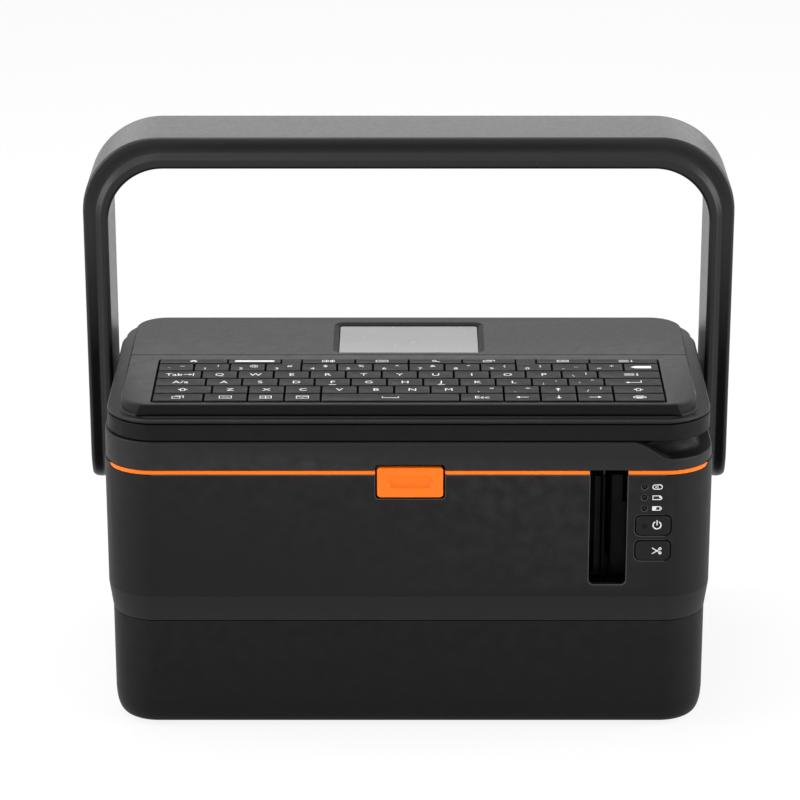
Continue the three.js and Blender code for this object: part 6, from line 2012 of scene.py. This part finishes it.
            face.line([(x - 2.8, -h), (x + 1.2, -h), (x + 1.2, h * 0.5), (x - 2.8, h * 0.5)], 0.42,
                      closed=True)
            face.line([(x - 1.2, h), (x + 2.8, h), (x + 2.8, -h * 0.5)], 0.42)
        elif sign is Sign.BARCODE:
            for k, thick in enumerate((0.5, 0.3, 0.7, 0.3, 0.5, 0.9, 0.3)):
                face.line([(x - 3 + k, -h), (x - 3 + k, h)], thick)
        elif sign is Sign.LOUPE:
            face.arc(x - 0.6, 0.3, h * 0.7, 0.42)
            face.line([(x + 0.5, -0.6), (x + 2.0, -h)], 0.55)
        elif sign is Sign.PRINT:
            face.line([(x - 3, -h * 0.6), (x + 3, -h * 0.6), (x + 3, h * 0.4), (x - 3, h * 0.4)], 0.45,
                      closed=True)
            face.line([(x - 1.7, h * 0.5), (x - 1.7, h), (x + 1.7, h), (x + 1.7, h * 0.5)], 0.45)
            face.area([(x - 1.7, -h), (x + 1.7, -h), (x + 1.7, -h * 0.2), (x - 1.7, -h * 0.2)])
        elif sign is Sign.SPACE:
            face.line([(x - 4, h * 0.3), (x - 4, -h * 0.5), (x + 4, -h * 0.5), (x + 4, h * 0.3)], pen)
        elif sign is Sign.TABLE:
            face.line([(x - 2.8, -h), (x + 2.8, -h), (x + 2.8, h), (x - 2.8, h)], 0.4, closed=True)
            face.line([(x - 2.8, 0), (x + 2.8, 0)], 0.35)
            face.line([(x, -h), (x, h)], 0.35)
        elif sign is Sign.LETTER:
            face.line([(x - 3, -h), (x + 3, -h), (x + 3, h), (x - 3, h)], 0.4, closed=True)
            face.line([(x - 3, h), (x, -0.2), (x + 3, h)], 0.4)


# ---------------- handle


@dataclass
class CarryHandle(Assembly):
    """U-shaped handle, swept with a shallow valley along its front face."""

    arm: float = 13.0
    bar: float = 17.0
    corner: float = 40.0
    inner_corner: float = 29.0
    tip: float = 7.0
    outer_round: float = 1.6
    inner_round: float = 2.0
    valley: float = 1.7
    bore: float = 6.3

    def stations(self) -> list[Tuple[Flat, Flat, float]]:
        """Outer point, inner point and half depth along the right arm and half of the bar, from the tip up.

        Returns:
            the stations, in order.
        """
        box, pivot = Extent.of("handle"), Extent.of("handle_pivot_right").middle
        reach, top, half = box.high.x, box.high.z, box.size.y / 2
        bottom = pivot.z - half
        rows: list[Tuple[Flat, Flat, float]] = []
        for k in range(18):
            angle = math.radians(85 - 85 * k / 17)
            z = pivot.z - half * math.sin(angle)
            rise = z - bottom
            inset = self.tip - math.sqrt(max(0.0, self.tip ** 2
                                             - (self.tip - rise) ** 2)) if rise < self.tip else 0.0
            rows.append(((reach - inset, z), (reach - self.arm, z), half * math.cos(angle)))
        outer_z, inner_z = top - self.corner, top - self.bar - self.inner_corner
        for k in range(1, 13):
            share = k / 12
            rows.append(((reach, pivot.z + (outer_z - pivot.z) * share),
                         (reach - self.arm, pivot.z + (inner_z - pivot.z) * share), half))
        for k in range(1, 21):
            angle = math.pi / 2 * k / 20
            outer = (reach - self.corner + self.corner * math.cos(angle),
                     outer_z + self.corner * math.sin(angle))
            inner = (reach - self.arm - self.inner_corner + self.inner_corner * math.cos(angle),
                     inner_z + self.inner_corner * math.sin(angle))
            rows.append((outer, inner, half))
        for k in range(1, 9):
            share = 1 - k / 8
            rows.append((((reach - self.corner) * share, top),
                         ((reach - self.arm - self.inner_corner) * share, top - self.bar), half))
        return rows

    @staticmethod
    def sunk(share: float) -> float:
        """Depth of the valley in the front face, from 0 at both edges to 1 at its bottom.

        Args:
            share: way from the inner to the outer edge, from 0 to 1.

        Returns:
            The share of the full depth.
        """
        rise = min(max((share - 0.2) / 0.3, 0.0), 1.0)
        fall = min(max((1.0 - share) / 0.5, 0.0), 1.0)
        low = min(rise, fall)
        return low * low * (3 - 2 * low) * 0.4 + low * 0.6

    def section(self, outer: Flat, inner: Flat, half: float, middle_y: float) -> Ring:
        """One section of the handle between its inner and its outer line.

        Args:
            outer: point of the outer line, in X and Z.
            inner: point of the inner line.
            half: half of the depth.
            middle_y: middle of the handle, front to back.

        Returns:
            The ring of the section.
        """
        thick = math.dist(outer, inner)
        direction = ((outer[0] - inner[0]) / thick, (outer[1] - inner[1]) / thick)
        round_out = min(self.outer_round, thick * 0.45, half * 0.8)
        round_in = min(self.inner_round, thick * 0.3, half * 0.6)
        local: list[Flat] = []
        for radius, (a, b), start in ((round_out, (thick, -half), -90), (round_out, (thick, half), 0),
                                      (round_in, (0.0, half), 90), (round_in, (0.0, -half), 180)):
            ca = a - math.copysign(radius, a - thick / 2)
            cb = b - math.copysign(radius, b)
            for k in range(7):
                angle = math.radians(start + 15 * k)
                local.append((ca + radius * math.cos(angle), cb + radius * math.sin(angle)))
        depth = self.valley * min(1.0, half / 12)
        for k in range(1, 24):
            share = k / 24
            local.append((round_in + (thick - round_in - round_out) * share,
                          -half + depth * self.sunk(share)))
        return [(inner[0] + direction[0] * a, middle_y + b, inner[1] + direction[1] * a) for a, b in local]

    def build(self) -> None:
        """Builds the handle."""
        box, pivot = Extent.of("handle"), Extent.of("handle_pivot_right").middle
        right = self.stations()
        left = [((-outer[0], outer[1]), (-inner[0], inner[1]), half) for outer, inner,
                half in reversed(right[:-1])]
        rings = []
        for outer, inner, half in right + left:
            rings.append(self.section(outer, inner, half, pivot.y))
        piece = loft("carry_bow", rings)
        reach = box.high.x
        tools = []
        for sign in (-1, 1):
            ends = sorted((sign * (reach - self.arm - 2), sign * (reach - self.arm + 9.3)))
            tools.append(turned("cut", [(self.bore, ends[0]), (self.bore, ends[1])], (0, pivot.y, pivot.z),
                                "X"))
        carve(piece, *tools)
        soften(piece, 0.0, merge=False)
        self.shop.fit(piece, Slot.CASE, self.look.handle, "handle")


# ---------------- mechanism


@dataclass
class Mechanism(Assembly):
    """Deck, drive, head, cutter and cassettes under the lid."""

    edge: float = 0.25

    def build(self) -> None:
        """Builds the pieces."""
        look = self.look
        # The dark steel is painted shade that keeps the view through the exit slot black; it is also laid on
        # the deck, the roller bracket and the cooling block.
        plain = (
            ("chassis_deck", "deck_plate", Slot.STEEL, look.shade_dark_steel),
            ("motor_pinion", "pinion", Slot.BRASS, look.brass),
            ("idler_gear", "idler_wheel", Slot.GEAR, look.gear),
            ("platen_gear", "roller_wheel", Slot.GEAR, look.gear),
            ("roller_holder", "roller_bracket", Slot.STEEL, look.shade_dark_steel),
            ("print_head", "thermal_head", Slot.CERAMIC, look.ceramic),
            ("heat_sink", "cooling_block", Slot.ALUMINIUM, look.shade_dark_steel),
            ("cutter_anvil", "fixed_blade", Slot.STEEL, look.shade_dark_steel),
            ("cutter_blade", "moving_blade", Slot.STEEL, look.shade_dark_steel),
            ("drive_motor", "motor_can", Slot.ALUMINIUM, look.aluminium),
        )
        for node, name, slot, finish in plain:
            self.shop.refined(node, name, slot, finish, 0.15
                              if "gear" in node or "pinion" in node else self.edge)
        self.roller()
        for node, name in (("tape_cassette", "label_cassette"), ("ribbon_cassette", "ribbon_case")):
            top = Extent.of(node).high.z

            def label(middle: Vector, top: float = top) -> int:
                """Tells the label recess from the case."""
                return 1 if top - 0.6 < middle.z < top - 0.25 else 0

            self.shop.refined(node, name, Slot.CASSETTE, look.cassette, self.edge, label, (look.ceramic,))

    def roller(self) -> None:
        """Turns the rubber roller on its steel shaft."""
        box = Extent.of("platen_roller")
        low, high, radius, shaft = box.low.z + 12.6, box.high.z - 3.6, box.size.x / 2, 2.0
        profile = [(NEAR_AXIS, box.low.z), (shaft - 0.3, box.low.z), (shaft, box.low.z + 0.3), (shaft, low),
                   (radius - 0.6, low), (radius, low + 0.6), (radius, high - 0.6), (radius - 0.6, high),
                   (shaft, high),
                   (shaft, box.high.z - 0.3), (shaft - 0.3, box.high.z), (NEAR_AXIS, box.high.z)]
        piece = soften(turned("platen", profile, (box.middle.x, box.middle.y, 0), "Z", 40), 0.0)
        paint(piece, self.look.rubber, self.look.steel)
        for face in piece.data.polygons:
            middle = face.center / MM
            if math.hypot(middle.x - box.middle.x, middle.y - box.middle.y) < shaft + 0.2:
                face.material_index = 1
        self.shop.fit(piece, Slot.RUBBER, self.look.rubber, "platen_roller")


# ---------------- studio


# Name, middle and side length in millimetres, and power in watts of each lamp.
LAMPS = (
    ("overhead", (-250, 150, 1500), 800, 12.0),
    ("backdrop", (0, 2200, 1300), 2400, 14.0),
    ("side_right", (1450, -100, 900), 1100, 20.0),
    ("side_left", (-1450, -100, 900), 1100, 15.0),
    ("low_left", (-1600, -1100, 300), 900, 12.0),
    ("low_right", (1600, -1100, 300), 900, 14.0),
    ("front_left", (-900, -2300, 1500), 1200, 9.0),
)


@dataclass
class Studio:
    """Pale floor, even light and the camera."""

    camera_place: Spot = (0.0, -1641.5, 752.7)
    pitch: float = 20.3
    lens: float = 149.4
    shift: float = -0.0109
    sensor: float = 36.0
    far_clip: float = 50.0
    floor_size: float = 9000.0
    floor_glow: float = 0.85
    fill: float = 0.22
    aim: Spot = (0.0, 0.0, 120.0)

    def build(self) -> None:
        """Builds the studio."""
        self.floor()
        self.world()
        for name, place, size, power in LAMPS:
            self.lamp(name, place, size, power)
        self.camera()
        bpy.context.scene.view_settings.view_transform = "Standard"

    def floor(self) -> None:
        """Lays the floor, white to the camera with the object's soft shadow."""
        half = self.floor_size / 2
        corners = [(-half, -half, 0), (half, -half, 0), (half, half, 0), (-half, half, 0)]
        mesh = bpy.data.meshes.new("studio_floor")
        mesh.from_pydata([Vector(c) * MM for c in corners], [], [(0, 1, 2, 3)])
        plane = placed("studio_floor", mesh)
        nodes = Nodes("studio_white")
        nodes.shader.inputs["Base Color"].default_value = (0.9, 0.9, 0.9, 1.0)
        nodes.shader.inputs["Roughness"].default_value = 0.9
        nodes.shader.inputs["Specular IOR Level"].default_value = 0.0
        glow = nodes.add("ShaderNodeEmission", Color=(1.0, 1.0, 1.0, 1.0), Strength=1.0)
        mix = nodes.add("ShaderNodeMixShader")
        share = nodes.add("ShaderNodeMath", operation="MULTIPLY")
        share.inputs[1].default_value = self.floor_glow
        nodes.join(self.seen(nodes.tree), share.inputs[0])
        nodes.join(share.outputs[0], mix.inputs[0])
        nodes.join(nodes.shader.outputs[0], mix.inputs[1])
        nodes.join(glow.outputs[0], mix.inputs[2])
        nodes.join(mix.outputs[0], nodes.tree.nodes["Material Output"].inputs["Surface"])
        mesh.materials.append(nodes.material)

    @staticmethod
    def seen(tree: bpy.types.NodeTree) -> Socket:
        """Adds nodes that give 1 for camera, glossy and transmission rays.

        Args:
            tree: the node tree.

        Returns:
            The socket of the sum.
        """
        path = tree.nodes.new("ShaderNodeLightPath")
        total = path.outputs["Is Camera Ray"]
        for name in ("Is Glossy Ray", "Is Transmission Ray"):
            plus = tree.nodes.new("ShaderNodeMath")
            plus.operation, plus.use_clamp = "ADD", True
            tree.links.new(total, plus.inputs[0])
            tree.links.new(path.outputs[name], plus.inputs[1])
            total = plus.outputs[0]
        return total

    def world(self) -> None:
        """Sets the surround: white where it is seen or mirrored, and a soft fill elsewhere."""
        world = bpy.data.worlds.new("studio_surround")
        world.use_nodes = True
        back = world.node_tree.nodes["Background"]
        back.inputs["Color"].default_value = (1.0, 1.0, 1.0, 1.0)
        strength = world.node_tree.nodes.new("ShaderNodeMath")
        strength.operation = "MULTIPLY_ADD"
        strength.inputs[1].default_value = 1.0 - self.fill
        strength.inputs[2].default_value = self.fill
        world.node_tree.links.new(self.seen(world.node_tree), strength.inputs[0])
        world.node_tree.links.new(strength.outputs[0], back.inputs["Strength"])
        bpy.context.scene.world = world

    def lamp(self, name: str, place: Spot, size: float, power: float) -> None:
        """Hangs a square soft lamp that faces the object.

        Args:
            name: name of the lamp.
            place: its middle.
            size: length of its side.
            power: its power in watts.
        """
        data = bpy.data.lights.new(name, "AREA")
        data.size, data.energy, data.shape = size * MM, power, "SQUARE"
        made = placed(name, data)
        made.location = Vector(place) * MM
        made.rotation_euler = (Vector(self.aim) * MM - made.location).to_track_quat("-Z", "Y").to_euler()

    def camera(self) -> None:
        """Sets the camera."""
        data = bpy.data.cameras.new("view")
        data.lens, data.sensor_width, data.shift_x = self.lens, self.sensor, self.shift
        data.clip_end = self.far_clip
        made = placed("view", data)
        made.location = Vector(self.camera_place) * MM
        made.rotation_euler = (math.radians(90 - self.pitch), 0.0, 0.0)
        bpy.context.scene.camera = made


def main() -> None:
    """Builds the printer and its studio."""
    logging.basicConfig(level=logging.INFO, format="%(name)s: %(message)s")
    shop = Workshop(Finishes())
    for kind in (LowerCase, MainCase, FrontControls, Lid, KeyboardUnit, Keys, CarryHandle, Mechanism):
        log.info("assembly %s", kind.__name__)
        kind(shop).build()
    Studio().build()
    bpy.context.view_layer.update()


if __name__ == "__main__":
    main()
